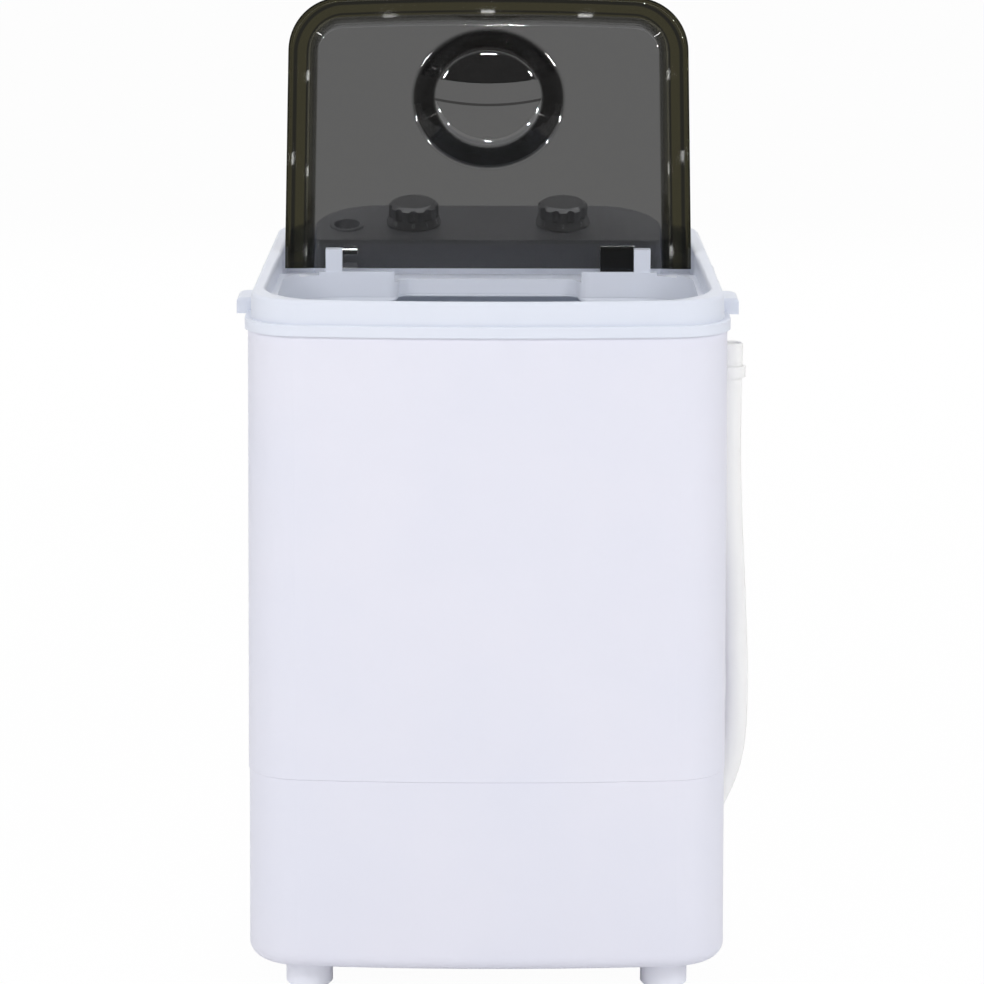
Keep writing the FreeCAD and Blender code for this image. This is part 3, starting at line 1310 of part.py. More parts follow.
def hose_clip():
    """A hook on the cabinet's side that wraps round the hose's upper end."""
    low = CLIP_HEIGHT - CLIP_WIDTH / 2
    high = CLIP_HEIGHT + CLIP_WIDTH / 2
    (x0, z0), (x1, z1) = HOSE_ROUTE[-2:]
    x = HALF_WIDTH + x0 + (x1 - x0) * (CLIP_HEIGHT - z0) / (z1 - z0)
    inner = HOSE_DIAMETER + 2 * LOOSE_CLEARANCE
    outer = inner + 2 * CLIP_WALL
    wall = side_at(low - CLIP_WALL)
    hook = cylinder(outer, low, high, x, HOSE_Y)
    pad_y = outer / 2
    pad = box(wall, wall + CLIP_WALL, HOSE_Y - pad_y, HOSE_Y + pad_y, low - CLIP_WALL, high + CLIP_WALL)
    hook = hook.common(box(wall, x + outer, HOSE_Y - outer, HOSE_Y + outer, low, high))
    gap = box(x - CLIP_GAP / 2, x + CLIP_GAP / 2, HOSE_Y, HOSE_Y + outer, low, high)
    bore = cylinder(inner, low - CLIP_WALL, high + CLIP_WALL, x, HOSE_Y)
    return fused(hook, pad).cut(bore).cut(gap)


def cord_gland():
    z = BASE_Z + GLAND_RISE
    wall = REAR - body_inset(z) - BASE_SETBACK
    inside = wall - 2 * BASE_WALL
    body = Part.makeCylinder(GLAND_DIAMETER / 2, wall - inside, V(GLAND_X, inside, z), Y_AXIS)
    outermost = REAR - body_inset(z - GLAND_COLLAR_DIAMETER / 2) - BASE_SETBACK
    outside = V(GLAND_X, outermost + RUNNING_CLEARANCE, z)
    collar = Part.makeCylinder(GLAND_COLLAR_DIAMETER / 2, BASE_WALL, outside, Y_AXIS)
    neck = Part.makeCylinder(GLAND_DIAMETER / 2, BASE_WALL * 2, V(GLAND_X, wall, z), Y_AXIS)
    bore = Part.makeCylinder(GLAND_BORE / 2, BASE_WALL * 6, V(GLAND_X, inside, z), Y_AXIS)
    return fused(body, collar, neck).cut(bore)


def loom_y():
    """The loom runs down between the tub's rear wall and the cabinet's."""
    return REAR - TUB_END_GAP + LOOM_DIAMETER / 2 + LOOSE_CLEARANCE * 2


def loom_hole():
    return cylinder(LOOM_DIAMETER + LOOSE_CLEARANCE, CABINET_TOP, DECK_Z, LOOM_X, loom_y())


def wiring_loom():
    """The bundle of leads from the console down to the motor."""
    low = BASE_Z + LOOM_RISE
    bend = V(LOOM_X, loom_y(), low)
    motor_axis = V(-MOTOR_OFFSET, 0, low)
    direction = (bend - motor_axis).normalize()
    end = motor_axis + direction * (MOTOR_DIAMETER / 2 - MOTOR_WAIST_INSET + LOOSE_CLEARANCE)
    path, _ = rounded_path([V(LOOM_X, loom_y(), DECK_Z + LOOM_DIAMETER), bend, end], LOOM_BEND)
    return swept(path, LOOM_DIAMETER)


os.makedirs("parts", exist_ok=True)
left_x, right_x = control_places()
half_flute = 180.0 / KNOB_FLUTES

save("base_shell", base_shell())
save("feet", *feet())
save("bottom_plate", bottom_plate())
save("plate_screws", *plate_screws())
save("cabinet", cabinet())
save("wash_tub", wash_tub())
save("drain_strainer", drain_strainer())
save("top_frame", top_frame())
save("control_panel", control_panel())
save("water_inlet", water_inlet())
save("timer_knob", on_panel(knob(half_flute), left_x))
save("timer_shaft", on_panel(control_shaft(TIMER_DEPTH), left_x))
save("wash_timer", on_panel(wash_timer(), left_x))
save("selector_knob", on_panel(knob(0.0), right_x))
save("selector_shaft", on_panel(control_shaft(SELECTOR_DEPTH), right_x))
save("selector_switch", on_panel(selector_switch(), right_x))
save("lid", lid())
save("hinge_block", hinge_block())
save("hinge_pins", *hinge_pins())
save("pulsator", pulsator())
save("pulsator_screw", pulsator_screw())
save("pulsator_shaft", pulsator_shaft())
save("shaft_seal", shaft_seal())
save("bearing_housing", bearing_housing())
save("bearing_bushes", *bearing_bushes())
save("bearing_screws", *bearing_screws())
save("drive_pulley", drive_pulley())
save("pulley_nut", pulley_nut())
save("drive_belt", drive_belt())
save("motor_pulley", motor_pulley())
save("motor_shaft", motor_shaft())
save("motor", motor())
save("motor_bracket", motor_bracket())
save("motor_screws", *motor_screws())
save("capacitor", capacitor())
save("drain_pipe", drain_pipe())
save("drain_hose", drain_hose())
save("hose_clamp", hose_clamp())
save("hose_grommet", hose_grommet())
save("hose_clip", hose_clip())
save("cord_gland", cord_gland())
save("wiring_loom", wiring_loom())
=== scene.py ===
"""Looks of a mini washing machine: white moulded body, smoke lid standing open, two knobs, drain hose.

Metres, +Z up, the front faces -Y. The pieces follow each other as the machine is put together.
"""
import math

import bmesh
import bpy
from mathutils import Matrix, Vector


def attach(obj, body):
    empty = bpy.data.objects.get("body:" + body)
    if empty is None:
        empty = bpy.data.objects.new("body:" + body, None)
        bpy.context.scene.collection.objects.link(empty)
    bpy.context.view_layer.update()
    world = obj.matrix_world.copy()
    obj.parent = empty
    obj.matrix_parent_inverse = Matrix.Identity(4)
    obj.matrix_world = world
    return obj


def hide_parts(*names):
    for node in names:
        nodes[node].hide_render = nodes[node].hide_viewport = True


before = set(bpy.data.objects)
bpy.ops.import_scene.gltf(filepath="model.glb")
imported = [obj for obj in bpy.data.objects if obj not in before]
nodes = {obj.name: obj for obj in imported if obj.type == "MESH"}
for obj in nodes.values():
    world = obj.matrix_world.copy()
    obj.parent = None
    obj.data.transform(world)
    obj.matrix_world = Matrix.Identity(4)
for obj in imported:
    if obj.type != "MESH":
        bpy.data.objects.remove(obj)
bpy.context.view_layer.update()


# Base shell, cabinet and feet: injection-moulded white polypropylene with a faint violet cast.
# The mould is spark-eroded, which leaves a very fine even grain, and thick spots sink a little.
# The cabinet drops over a tongue on the base, and each foot is pressed into the base's floor.
SHADE_SPOT = 0.11
SHEEN_SPOT = 0.02
SINK_WIDTH = 0.06
SINK_DEPTH = 0.00006
PLASTIC_IOR = 1.49


def linear(red, green, blue):
    """A colour given as screen values from 0 to 255, as the shaders take it."""
    shades = []
    for value in (red, green, blue):
        share = value / 255
        shades.append(share / 12.92 if share <= 0.04045 else ((share + 0.055) / 1.055) ** 2.4)
    return (*shades, 1.0)


def new_material(name):
    """An empty node material with its principled shader."""
    material = bpy.data.materials.new(name)
    material.use_nodes = True
    return material, material.node_tree, material.node_tree.nodes["Principled BSDF"]


def add_noise(tree, size, detail=2.0, stretch=(1, 1, 1)):
    """A noise whose spots are about size metres wide, fixed to the piece."""
    place = tree.nodes.new("ShaderNodeTexCoord")
    scaled = tree.nodes.new("ShaderNodeMapping")
    scaled.inputs["Scale"].default_value = [axis / size for axis in stretch]
    noise = tree.nodes.new("ShaderNodeTexNoise")
    noise.inputs["Scale"].default_value = 1.0
    noise.inputs["Detail"].default_value = detail
    tree.links.new(place.outputs["Object"], scaled.inputs["Vector"])
    tree.links.new(scaled.outputs["Vector"], noise.inputs["Vector"])
    return noise.outputs["Fac"]


def add_range(tree, value, start, end, low=0.0, high=1.0, smooth=False):
    """Map start to end onto low to high, in a straight line or with soft ends."""
    ranged = tree.nodes.new("ShaderNodeMapRange")
    if smooth:
        ranged.interpolation_type = "SMOOTHSTEP"
    ranged.inputs["From Min"].default_value = start
    ranged.inputs["From Max"].default_value = end
    ranged.inputs["To Min"].default_value = low
    ranged.inputs["To Max"].default_value = high
    tree.links.new(value, ranged.inputs["Value"])
    return ranged.outputs["Result"]


def spread(tree, value, low, high):
    """Map a noise's middle range onto low to high."""
    return add_range(tree, value, 0.3, 0.7, low, high)


def mix_colours(tree, fac, first, second):
    """Blend from the first colour to the second; each is a fixed colour or a node's output."""
    mix = tree.nodes.new("ShaderNodeMix")
    mix.data_type = "RGBA"
    tree.links.new(fac, mix.inputs["Factor"])
    for socket, colour in (("A", first), ("B", second)):
        if isinstance(colour, tuple):
            mix.inputs[socket].default_value = colour
        else:
            tree.links.new(colour, mix.inputs[socket])
    return mix.outputs["Result"]


def vary_colour(tree, shader, fac, colour, other):
    """Let the base colour wander between two close shades."""
    tree.links.new(mix_colours(tree, fac, colour, other), shader.inputs["Base Color"])


def add_bump(tree, shader, height, depth, under=None):
    """Raise the surface by depth metres where height is 1."""
    bump = tree.nodes.new("ShaderNodeBump")
    bump.inputs["Strength"].default_value = 1.0
    bump.inputs["Distance"].default_value = depth
    tree.links.new(height, bump.inputs["Height"])
    if under:
        tree.links.new(under, bump.inputs["Normal"])
    tree.links.new(bump.outputs["Normal"], shader.inputs["Normal"])
    return bump.outputs["Normal"]


def moulded_plastic(name, colour, other, roughness, grain=0.0006, grain_depth=0.000012):
    """Moulded plastic: grain, slow sink waves, a slightly uneven sheen and colour."""
    material, tree, shader = new_material(name)
    vary_colour(tree, shader, spread(tree, add_noise(tree, SHADE_SPOT), 0, 1), colour, other)
    gloss = spread(tree, add_noise(tree, SHEEN_SPOT, 4.0), roughness - 0.04, roughness + 0.05)
    tree.links.new(gloss, shader.inputs["Roughness"])
    waves = add_bump(tree, shader, add_noise(tree, SINK_WIDTH, 1.0), SINK_DEPTH)
    add_bump(tree, shader, add_noise(tree, grain, 3.0), grain_depth, waves)
    shader.inputs["IOR"].default_value = PLASTIC_IOR
    return material


def dress(material, *names):
    """Give a material to carried-over nodes."""
    for name in names:
        for slot in nodes[name].material_slots:
            slot.material = material


body_white = moulded_plastic("body_white", linear(229, 229, 240), linear(226, 227, 239), 0.38)
dress(body_white, "base_shell", "cabinet")
foot_white = moulded_plastic("foot_white", linear(244, 245, 253), linear(238, 239, 249), 0.5, 0.0012, 0.00003)
dress(foot_white, "feet")


# Bottom plate, pulleys and switch bodies: black glass-filled nylon, half matt as it leaves the mould.
# The plate is screwed under the base; the loom's sleeve and the cord gland are the same black.
black_nylon = moulded_plastic("black_nylon", linear(18, 18, 18), linear(23, 23, 23), 0.4, 0.0008, 0.00002)
dress(
    black_nylon, "bottom_plate", "motor_pulley", "drive_pulley", "wash_timer", "selector_switch",
    "wiring_loom", "cord_gland",
)


# Steel of the drive: zinc-plated screws, shafts, clamp and the folded bracket that carries the motor.
# Strip and bar keep the fine lines of rolling or turning under the plating.
METAL_SPOT = 0.02
LINE_DEPTH = 0.00002


def plain_metal(name, colour, other, roughness, grain, stretch):
    """A metal with lines or grain in its sheen and height."""
    material, tree, shader = new_material(name)
    shader.inputs["Metallic"].default_value = 1.0
    vary_colour(tree, shader, spread(tree, add_noise(tree, METAL_SPOT), 0, 1), colour, other)
    lines = add_noise(tree, grain, 3.0, stretch)
    tree.links.new(spread(tree, lines, roughness - 0.08, roughness + 0.1), shader.inputs["Roughness"])
    add_bump(tree, shader, lines, LINE_DEPTH)
    return material


zinc_steel = plain_metal(
    "zinc_steel", linear(202, 204, 206), linear(186, 189, 193), 0.38, 0.0006, (1, 1, 0.05))
dress(
    zinc_steel, "plate_screws", "motor_bracket", "motor_screws", "motor_shaft", "pulsator_shaft",
    "pulley_nut", "pulsator_screw", "bearing_screws", "hose_clamp", "timer_shaft", "selector_shaft",
    "hinge_pins",
)


# Motor and capacitor: a can of pressed steel in grey enamel, and a drawn aluminium capacitor beside it.
# The bearing housing is sand-cast alloy with two sintered bronze bushes pressed in.
motor_enamel = moulded_plastic("motor_enamel", linear(92, 95, 101), linear(80, 83, 90), 0.35, 0.002, 0.00003)
dress(motor_enamel, "motor")
cast_alloy = plain_metal("cast_alloy", linear(188, 190, 192), linear(170, 172, 175), 0.5, 0.0015, (1, 1, 1))
dress(cast_alloy, "bearing_housing", "capacitor")
bronze = plain_metal("sintered_bronze", linear(176, 134, 84), linear(150, 112, 70), 0.45, 0.0008, (1, 1, 1))
dress(bronze, "bearing_bushes")


# Belt and shaft seal: moulded black rubber, duller than the nylon and a little dusty.
# The belt runs in the pulleys' grooves, and the seal's lip rides on the pulsator's shaft.
black_rubber = moulded_plastic("black_rubber", linear(30, 30, 31), linear(44, 44, 45), 0.75, 0.001, 0.00004)
dress(black_rubber, "drive_belt", "shaft_seal")


# Tub, pulsator and strainer: the cabinet's polypropylene, polished in the mould where water runs over it.
# The tub hangs by its flange between cabinet and top frame, the pulsator turns in the well of its floor.
tub_white = moulded_plastic("tub_white", linear(232, 236, 244), linear(226, 231, 240), 0.34, 0.0015, 0.000008)
dress(tub_white, "wash_tub", "pulsator", "drain_strainer")


# Drain hose: soft white vinyl tube, 18 mm outside and 14 mm inside, cut off square at its free end.
# It is pushed on the drain pipe inside the base, leaves by the grommet and hangs up in a clip.
HOSE_ROUTE = [
    (0.1600, 0.058), (0.1760, 0.088), (0.1985, 0.136), (0.2010, 0.196),
    (0.1982, 0.262), (0.1926, 0.360), (0.1916, 0.420), (0.1925, 0.478),
]
HOSE_Y = 0.030
HOSE_RADIUS = 0.009
HOSE_BORE_RADIUS = 0.007
HOSE_SIDES = 40


def route_points(name, points, steps):
    """The points of a smooth spline that has these control points."""
    line = bpy.data.curves.new(name, "CURVE")
    line.dimensions = "3D"
    line.resolution_u = steps
    spline = line.splines.new("NURBS")
    spline.points.add(len(points) - 1)
    for knot, place in zip(spline.points, points):
        knot.co = (*place, 1.0)
    spline.order_u = 3
    spline.use_endpoint_u = True
    holder = bpy.data.objects.new(name, line)
    bpy.context.scene.collection.objects.link(holder)
    drawn = bpy.data.meshes.new_from_object(holder)
    found = [v.co.copy() for v in drawn.vertices]
    bpy.data.objects.remove(holder)
    return found


def link_mesh(name, mesh, smooth=True):
    """A new piece from a bmesh."""
    data = bpy.data.meshes.new(name)
    bmesh.ops.recalc_face_normals(mesh, faces=mesh.faces)
    mesh.to_mesh(data)
    mesh.free()
    for face in data.polygons:
        face.use_smooth = smooth
    piece = bpy.data.objects.new(name, data)
    bpy.context.scene.collection.objects.link(piece)
    return piece


def bridge(mesh, first, second):
    """Faces all round between two rings of as many points."""
    for place in range(len(first)):
        following = (place + 1) % len(first)
        mesh.faces.new((first[place], first[following], second[following], second[place]))


def hollow_tube(name, line, outer, inner, sides):
    """A tube with an outer and an inner wall along a line in an upright plane, its far end rounded over, its
    near end cut square.
    """
    lip = (outer - inner) / 2
    mesh = bmesh.new()
    rings = []

    def ring(at, along, radius):
        across = Vector((0, 1, 0))
        up = along.cross(across).normalized()
        turned = []
        for side in range(sides):
            angle = 2 * math.pi * side / sides
            turned.append(mesh.verts.new(at + (across * math.cos(angle) + up * math.sin(angle)) * radius))
        rings.append(turned)

    tangents = []
    for index in range(len(line)):
        before = line[max(index - 1, 0)]
        after = line[min(index + 1, len(line) - 1)]
        tangents.append((after - before).normalized())
    last = len(line) - 1
    for index in range(last):
        ring(line[index], tangents[index], outer)
    for step in range(5):
        angle = math.pi * step / 4
        ring(line[last] + tangents[last] * lip * (math.sin(angle) - 1), tangents[last],
             inner + lip + lip * math.cos(angle))
    for index in range(last - 1, -1, -1):
        ring(line[index], tangents[index], inner)
    for first, second in zip(rings, rings[1:] + rings[:1]):
        bridge(mesh, first, second)
    return link_mesh(name, mesh)


hose_vinyl = moulded_plastic("hose_vinyl", linear(250, 250, 249), linear(245, 245, 245), 0.34, 0.004, 0.00002)
hose_line = route_points("drain_hose_route", [(x, HOSE_Y, z) for x, z in HOSE_ROUTE], 20)
hose = hollow_tube("drain_hose_tube", hose_line, HOSE_RADIUS, HOSE_BORE_RADIUS, HOSE_SIDES)
hose.data.materials.append(hose_vinyl)
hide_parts("drain_hose")
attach(hose, "machine")


# Clip and pipe for the hose: stiffer white vinyl, one moulding each; the clip is welded to the cabinet.
# The grommet that lines the slot in the base is soft grey rubber, pressed in from outside.
dress(hose_vinyl, "hose_clip", "drain_pipe")
grommet_rubber = moulded_plastic("grommet_rubber", linear(196, 197, 203), linear(184, 185, 192), 0.62, 0.0009)
dress(grommet_rubber, "hose_grommet")


# Top frame: one white moulding of a cooler tone than the cabinet, snapped over the tub's flange.
# Collar, shelf, grips, hinge lugs and the console's housing are all part of it.
frame_white = moulded_plastic("frame_white", linear(225, 229, 240), linear(221, 226, 238), 0.34)
dress(frame_white, "top_frame")


# Drip lip: a thin bead that runs on downwards under the mouth's skirt, moulded with the top frame.
# It leads splashes back into the tub, and is shallower in the middle bay behind the mouth.
MOUTH_HALF_WIDTH = 0.160
MOUTH_FRONT = -0.140
MOUTH_REAR = 0.039
MOUTH_CORNER = 0.044
BAY_HALF_WIDTH = 0.071
BAY_REAR = 0.056
BAY_CORNER = 0.0085
BAY_EDGE = 0.009
SKIRT_LOW = 0.512
DRIP_DROP = 0.0052
BAY_DRIP_DROP = 0.0024
DRIP_OVERLAP = 0.0003
DRIP_SECTION = [
    (0.0003, 0.0), (0.0003, 0.85), (0.0007, 1.0), (0.0018, 1.0), (0.0022, 0.85), (0.0022, 0.0),
]
ARC_STEPS = 12


def mouth_outline(margin):
    """Right half of the mouth from front to rear, grown by margin, with the lip's drop at each point."""
    outline = []

    def arc(x, y, radius, start, end, drops):
        for step in range(ARC_STEPS + 1):
            share = step / ARC_STEPS
            angle = math.radians(start + (end - start) * share)
            drop = drops[0] + (drops[1] - drops[0]) * share
            outline.append((x + radius * math.cos(angle), y + radius * math.sin(angle), drop))

    corner = MOUTH_CORNER + margin
    side = MOUTH_HALF_WIDTH + margin - corner
    edge = BAY_EDGE - margin
    bay = BAY_HALF_WIDTH + margin
    shallow = (BAY_DRIP_DROP, BAY_DRIP_DROP)
    arc(side, MOUTH_FRONT - margin + corner, corner, -90, 0, (DRIP_DROP, DRIP_DROP))
    arc(side, MOUTH_REAR + margin - corner, corner, 0, 90, (DRIP_DROP, DRIP_DROP))
    arc(bay + edge, MOUTH_REAR + margin + edge, edge, 270, 180, (DRIP_DROP, BAY_DRIP_DROP))
    arc(bay - BAY_CORNER, BAY_REAR + margin - BAY_CORNER, BAY_CORNER, 0, 90, shallow)
    return outline


drip_mesh = bmesh.new()
drip_rows = []
for margin, share in DRIP_SECTION:
    right = mouth_outline(margin)
    row = []
    for x, y, drop in right + [(-x, y, drop) for x, y, drop in reversed(right)]:
        row.append(drip_mesh.verts.new((x, y, SKIRT_LOW + DRIP_OVERLAP - (drop + DRIP_OVERLAP) * share)))
    drip_rows.append(row)
for row, next_row in zip(drip_rows, drip_rows[1:] + drip_rows[:1]):
    bridge(drip_mesh, row, next_row)
drip_lip = link_mesh("drip_lip", drip_mesh)
drip_lip.data.materials.append(frame_white)
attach(drip_lip, "machine")


# Control panel and water inlet: a polished pale panel glued on the console, and the hose socket in it.
# The panel is so glossy that the knobs stand mirrored in it.
panel_gloss = moulded_plastic(
    "panel_gloss", linear(216, 218, 225), linear(211, 213, 221), 0.12, 0.004, 0.000004)
dress(panel_gloss, "control_panel")
socket_grey = moulded_plastic(
    "socket_grey", linear(196, 198, 204), linear(188, 190, 197), 0.34, 0.0015, 0.000008)
dress(socket_grey, "water_inlet")


# Knobs: fluted plastic mouldings under a bright silver lacquer, each pushed on its control's shaft.
# White numbers are printed round the flared skirt, and a small mark on the panel points at them.
PANEL_UP = Vector((0, 0.97561, 0.219512))
PANEL_OUT = Vector((0, -0.219512, 0.97561))
KNOB_X = 0.060
KNOB_Y = 0.122
KNOB_Z = 0.55945
SKIRT_FOOT = (0.02175, 0.0016)
SKIRT_HEAD = (0.0200, 0.0071)
NUMBER_HEIGHT = 0.0036
NUMBER_BOLDNESS = 0.00012
LINE_PER_NUMBER = 1.4
TIMER_STEP = 31.5
INK_DEPTH = 0.00006
INK_GAP = 0.00002
INDEX_OUTLINE = [(0.0, -0.0229), (-0.0011, -0.0262), (0.0, -0.0258), (0.0011, -0.0262)]
FLAKE_SHARE = 0.4

silver = moulded_plastic(
    "silver_lacquer", linear(186, 187, 190), linear(178, 179, 183), 0.2, 0.0005, 0.000004)
silver.node_tree.nodes["Principled BSDF"].inputs["Metallic"].default_value = FLAKE_SHARE
dress(silver, "timer_knob", "selector_knob")
dial_ink = moulded_plastic("dial_ink", linear(240, 241, 244), linear(234, 235, 239), 0.45, 0.0003, 0.000004)


def flat_number(text):
    """The mesh of a printed number, lying in its own plane about the origin."""
    writing = bpy.data.curves.new("number", "FONT")
    writing.body = text
    writing.size = NUMBER_HEIGHT * LINE_PER_NUMBER
    writing.align_x = "CENTER"
    writing.align_y = "CENTER"
    writing.extrude = INK_DEPTH / 2
    writing.offset = NUMBER_BOLDNESS
    holder = bpy.data.objects.new("number", writing)
    bpy.context.scene.collection.objects.link(holder)
    drawn = bpy.data.meshes.new_from_object(holder)
    bpy.data.objects.remove(holder)
    return drawn


def skirt_numbers(name, x, turns, body):
    """Numbers bent round a knob's skirt, each at its angle from the front, seen from above."""
    centre = Vector((x, KNOB_Y, KNOB_Z))
    slant = (Vector(SKIRT_FOOT) - Vector(SKIRT_HEAD)).normalized()
    middle = (Vector(SKIRT_FOOT) + Vector(SKIRT_HEAD)) / 2
    mesh = bmesh.new()
    for text, turn in turns:
        start = len(mesh.verts)
        mesh.from_mesh(flat_number(text))
        mesh.verts.ensure_lookup_table()
        for vertex in mesh.verts[start:]:
            aside, up, out = vertex.co
            angle = math.radians(turn) + aside / middle.x
            radius, rise = middle - slant * up + Vector((-slant.y, slant.x)) * (out + INK_DEPTH)
            reach = Vector((1, 0, 0)) * math.sin(angle) - PANEL_UP * math.cos(angle)
            vertex.co = centre + reach * radius + PANEL_OUT * rise
    piece = link_mesh(name, mesh, smooth=False)
    piece.data.materials.append(dial_ink)
    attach(piece, body)


skirt_numbers("timer_numbers", -KNOB_X, [(str(n), TIMER_STEP * n) for n in range(11)], "timer_dial")
skirt_numbers("selector_numbers", KNOB_X, [("1", -45), ("2", 0), ("3", 45)], "selector_dial")

index_mesh = bmesh.new()
for x in (-KNOB_X, KNOB_X):
    lower = []
    upper = []
    for aside, up in INDEX_OUTLINE:
        spot = Vector((x + aside, KNOB_Y, KNOB_Z)) + PANEL_UP * up
        lower.append(index_mesh.verts.new(spot + PANEL_OUT * INK_GAP))
        upper.append(index_mesh.verts.new(spot + PANEL_OUT * (INK_GAP + INK_DEPTH)))
    index_mesh.faces.new(lower)
    index_mesh.faces.new(upper)
    bridge(index_mesh, lower, upper)
index_marks = link_mesh("index_marks", index_mesh, smooth=False)
index_marks.data.materials.append(dial_ink)
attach(index_marks, "machine")


# Hinge block: solid black nylon, glued under the lid's right rear corner, where the spring sits.
# It is moulded denser than the other black pieces and polished by wear against the frame.
hinge_black = moulded_plastic("hinge_black", linear(13, 13, 13), linear(17, 17, 17), 0.34, 0.0008, 0.00001)
dress(hinge_black, "hinge_block")


# Lid: one moulding of smoke-tinted clear styrene, polished all over and hung on two steel pins.
# The thin plate is neutral grey, the rolled rim is tinted olive, and the cup's steep wall is tinted darker
# still.
# The dark lines along the rim's folds and across the cup's floor, where it creases, are painted shade.
PIN_Y = 0.048
PIN_Z = 0.5466
LID_LEAN = math.radians(8)
LID_HALF_WIDTH = 0.15961
LID_TAPER = 0.01739
LID_REACH = 0.202
LID_CROWN = 2.6
LID_CORNER = 0.042
CUP_CENTRE = 0.121
CUP_HALF_WIDTH = 0.06075
CUP_HALF_LENGTH = 0.05575
CUP_FLOOR_SHARE = 0.69
STYRENE_IOR = 1.5
LIP_LEVEL = 0.006
RIDGE_PLACE = 0.1153
RIDGE_SAG = 0.0097
PLATE_TINT = (0.115, 0.115, 0.114, 1.0)
OLIVE_TINT = (0.040, 0.037, 0.0205, 1.0)
# Painted shade: the dark lines along the rim's folds.
FOLD_SHADE_TINT = (0.0165, 0.016, 0.0125, 1.0)
CUP_TINT = (0.0085, 0.0085, 0.0082, 1.0)
LIP_TINT = (0.085, 0.085, 0.083, 1.0)
CLEAR_TINT = (0.9, 0.9, 0.9, 1.0)
# Painted shade: the dark line along the crease across the cup's floor.
RIDGE_SHADE_TINT = (0.045, 0.045, 0.044, 1.0)
RIM_SPAN = 0.030
END_NARROWING = 0.13
# Bands across the rim from its edge inwards: olive tint, with painted shade along each fold.
RIM_BANDS = [
    (0.0, OLIVE_TINT), (0.0035, OLIVE_TINT), (0.0043, FOLD_SHADE_TINT), (0.0064, FOLD_SHADE_TINT),
    (0.0074, OLIVE_TINT), (0.0136, OLIVE_TINT), (0.0144, FOLD_SHADE_TINT), (0.0154, FOLD_SHADE_TINT),
    (0.0162, OLIVE_TINT), (0.0172, OLIVE_TINT), (0.0180, FOLD_SHADE_TINT), (0.0200, FOLD_SHADE_TINT),
    (0.0222, PLATE_TINT),
]

smoke, lid_tree, lid_shader = new_material("smoke_styrene")


def add_math(tree, operation, *terms):
    """One arithmetic step, with numbers or other steps as its terms."""
    step = tree.nodes.new("ShaderNodeMath")
    step.operation = operation
    for socket, term in zip(step.inputs, terms):
        if isinstance(term, (int, float)):
            socket.default_value = term
        else:
            tree.links.new(term, socket)
    return step.outputs["Value"]


def lid_math(operation, *terms):
    """One arithmetic step on the lid's tint."""
    return add_math(lid_tree, operation, *terms)


def lid_square(value):
    """A value times itself."""
    return lid_math("MULTIPLY", value, value)


def lid_above(value, low, high):
    """0 below low, 1 above high, smooth between."""
    return add_range(lid_tree, value, low, high, smooth=True)


def lid_below(value, low, high):
    """1 below low, 0 above high, smooth between."""
    return lid_math("SUBTRACT", 1.0, lid_above(value, low, high))


lid_place = lid_tree.nodes.new("ShaderNodeTexCoord")
lid_axes = lid_tree.nodes.new("ShaderNodeSeparateXYZ")
lid_tree.links.new(lid_place.outputs["Object"], lid_axes.inputs["Vector"])
across = lid_math("ABSOLUTE", lid_axes.outputs["X"])
behind = lid_math("SUBTRACT", lid_axes.outputs["Y"], PIN_Y)
above = lid_math("SUBTRACT", lid_axes.outputs["Z"], PIN_Z)
along = lid_math(
    "ADD", lid_math("MULTIPLY", behind, math.sin(LID_LEAN)),
    lid_math("MULTIPLY", above, math.cos(LID_LEAN)))
level = lid_math(
    "SUBTRACT", lid_math("MULTIPLY", behind, math.cos(LID_LEAN)),
    lid_math("MULTIPLY", above, math.sin(LID_LEAN)))

half_width = lid_math("SUBTRACT", LID_HALF_WIDTH - LID_CORNER, lid_math("MULTIPLY", along, LID_TAPER))
reach = lid_math(
    "SUBTRACT", LID_REACH - LID_CORNER, lid_math("MULTIPLY", lid_square(across), 0.5 / LID_CROWN))
side_gap = lid_math("SUBTRACT", across, half_width)
end_gap = lid_math("SUBTRACT", along, reach)
corner_out = lid_math(
    "SQRT", lid_math(
        "ADD", lid_square(lid_math("MAXIMUM", side_gap, 0.0)), lid_square(lid_math("MAXIMUM", end_gap, 0.0))))
inside = lid_math("MINIMUM", lid_math("MAXIMUM", side_gap, end_gap), 0.0)
inset = lid_math("SUBTRACT", LID_CORNER, lid_math("ADD", corner_out, inside))
end_share = lid_math("DIVIDE", lid_square(lid_math("MAXIMUM", end_gap, 0.0)), lid_square(corner_out))
inset = lid_math("MULTIPLY", inset, lid_math("ADD", 1.0, lid_math("MULTIPLY", end_share, END_NARROWING)))
rim = lid_tree.nodes.new("ShaderNodeValToRGB")
for index, (place, tint) in enumerate(RIM_BANDS):
    stop = rim.color_ramp.elements[0] if index == 0 else rim.color_ramp.elements.new(place / RIM_SPAN)
    stop.color = tint
rim.color_ramp.elements[len(RIM_BANDS)].color = PLATE_TINT
lid_tree.links.new(lid_math("DIVIDE", inset, RIM_SPAN), rim.inputs["Fac"])

cup_v = lid_math("SUBTRACT", along, CUP_CENTRE)
cup_reach = lid_math(
    "SQRT", lid_math(
        "ADD", lid_square(lid_math("DIVIDE", across, CUP_HALF_WIDTH)),
        lid_square(lid_math("DIVIDE", cup_v, CUP_HALF_LENGTH))))
on_floor = lid_below(cup_reach, CUP_FLOOR_SHARE - 0.02, CUP_FLOOR_SHARE + 0.02)
in_cup = lid_below(cup_reach, 0.93, 1.02)
cup_wall = lid_math("MULTIPLY", lid_math("SUBTRACT", 1.0, on_floor), in_cup)
lip = lid_math(
    "MULTIPLY", lid_above(level, LIP_LEVEL - 0.0005, LIP_LEVEL + 0.0005), lid_below(cup_reach, 0.86, 0.90))
lip_middle = lid_math("MULTIPLY", lip, on_floor)
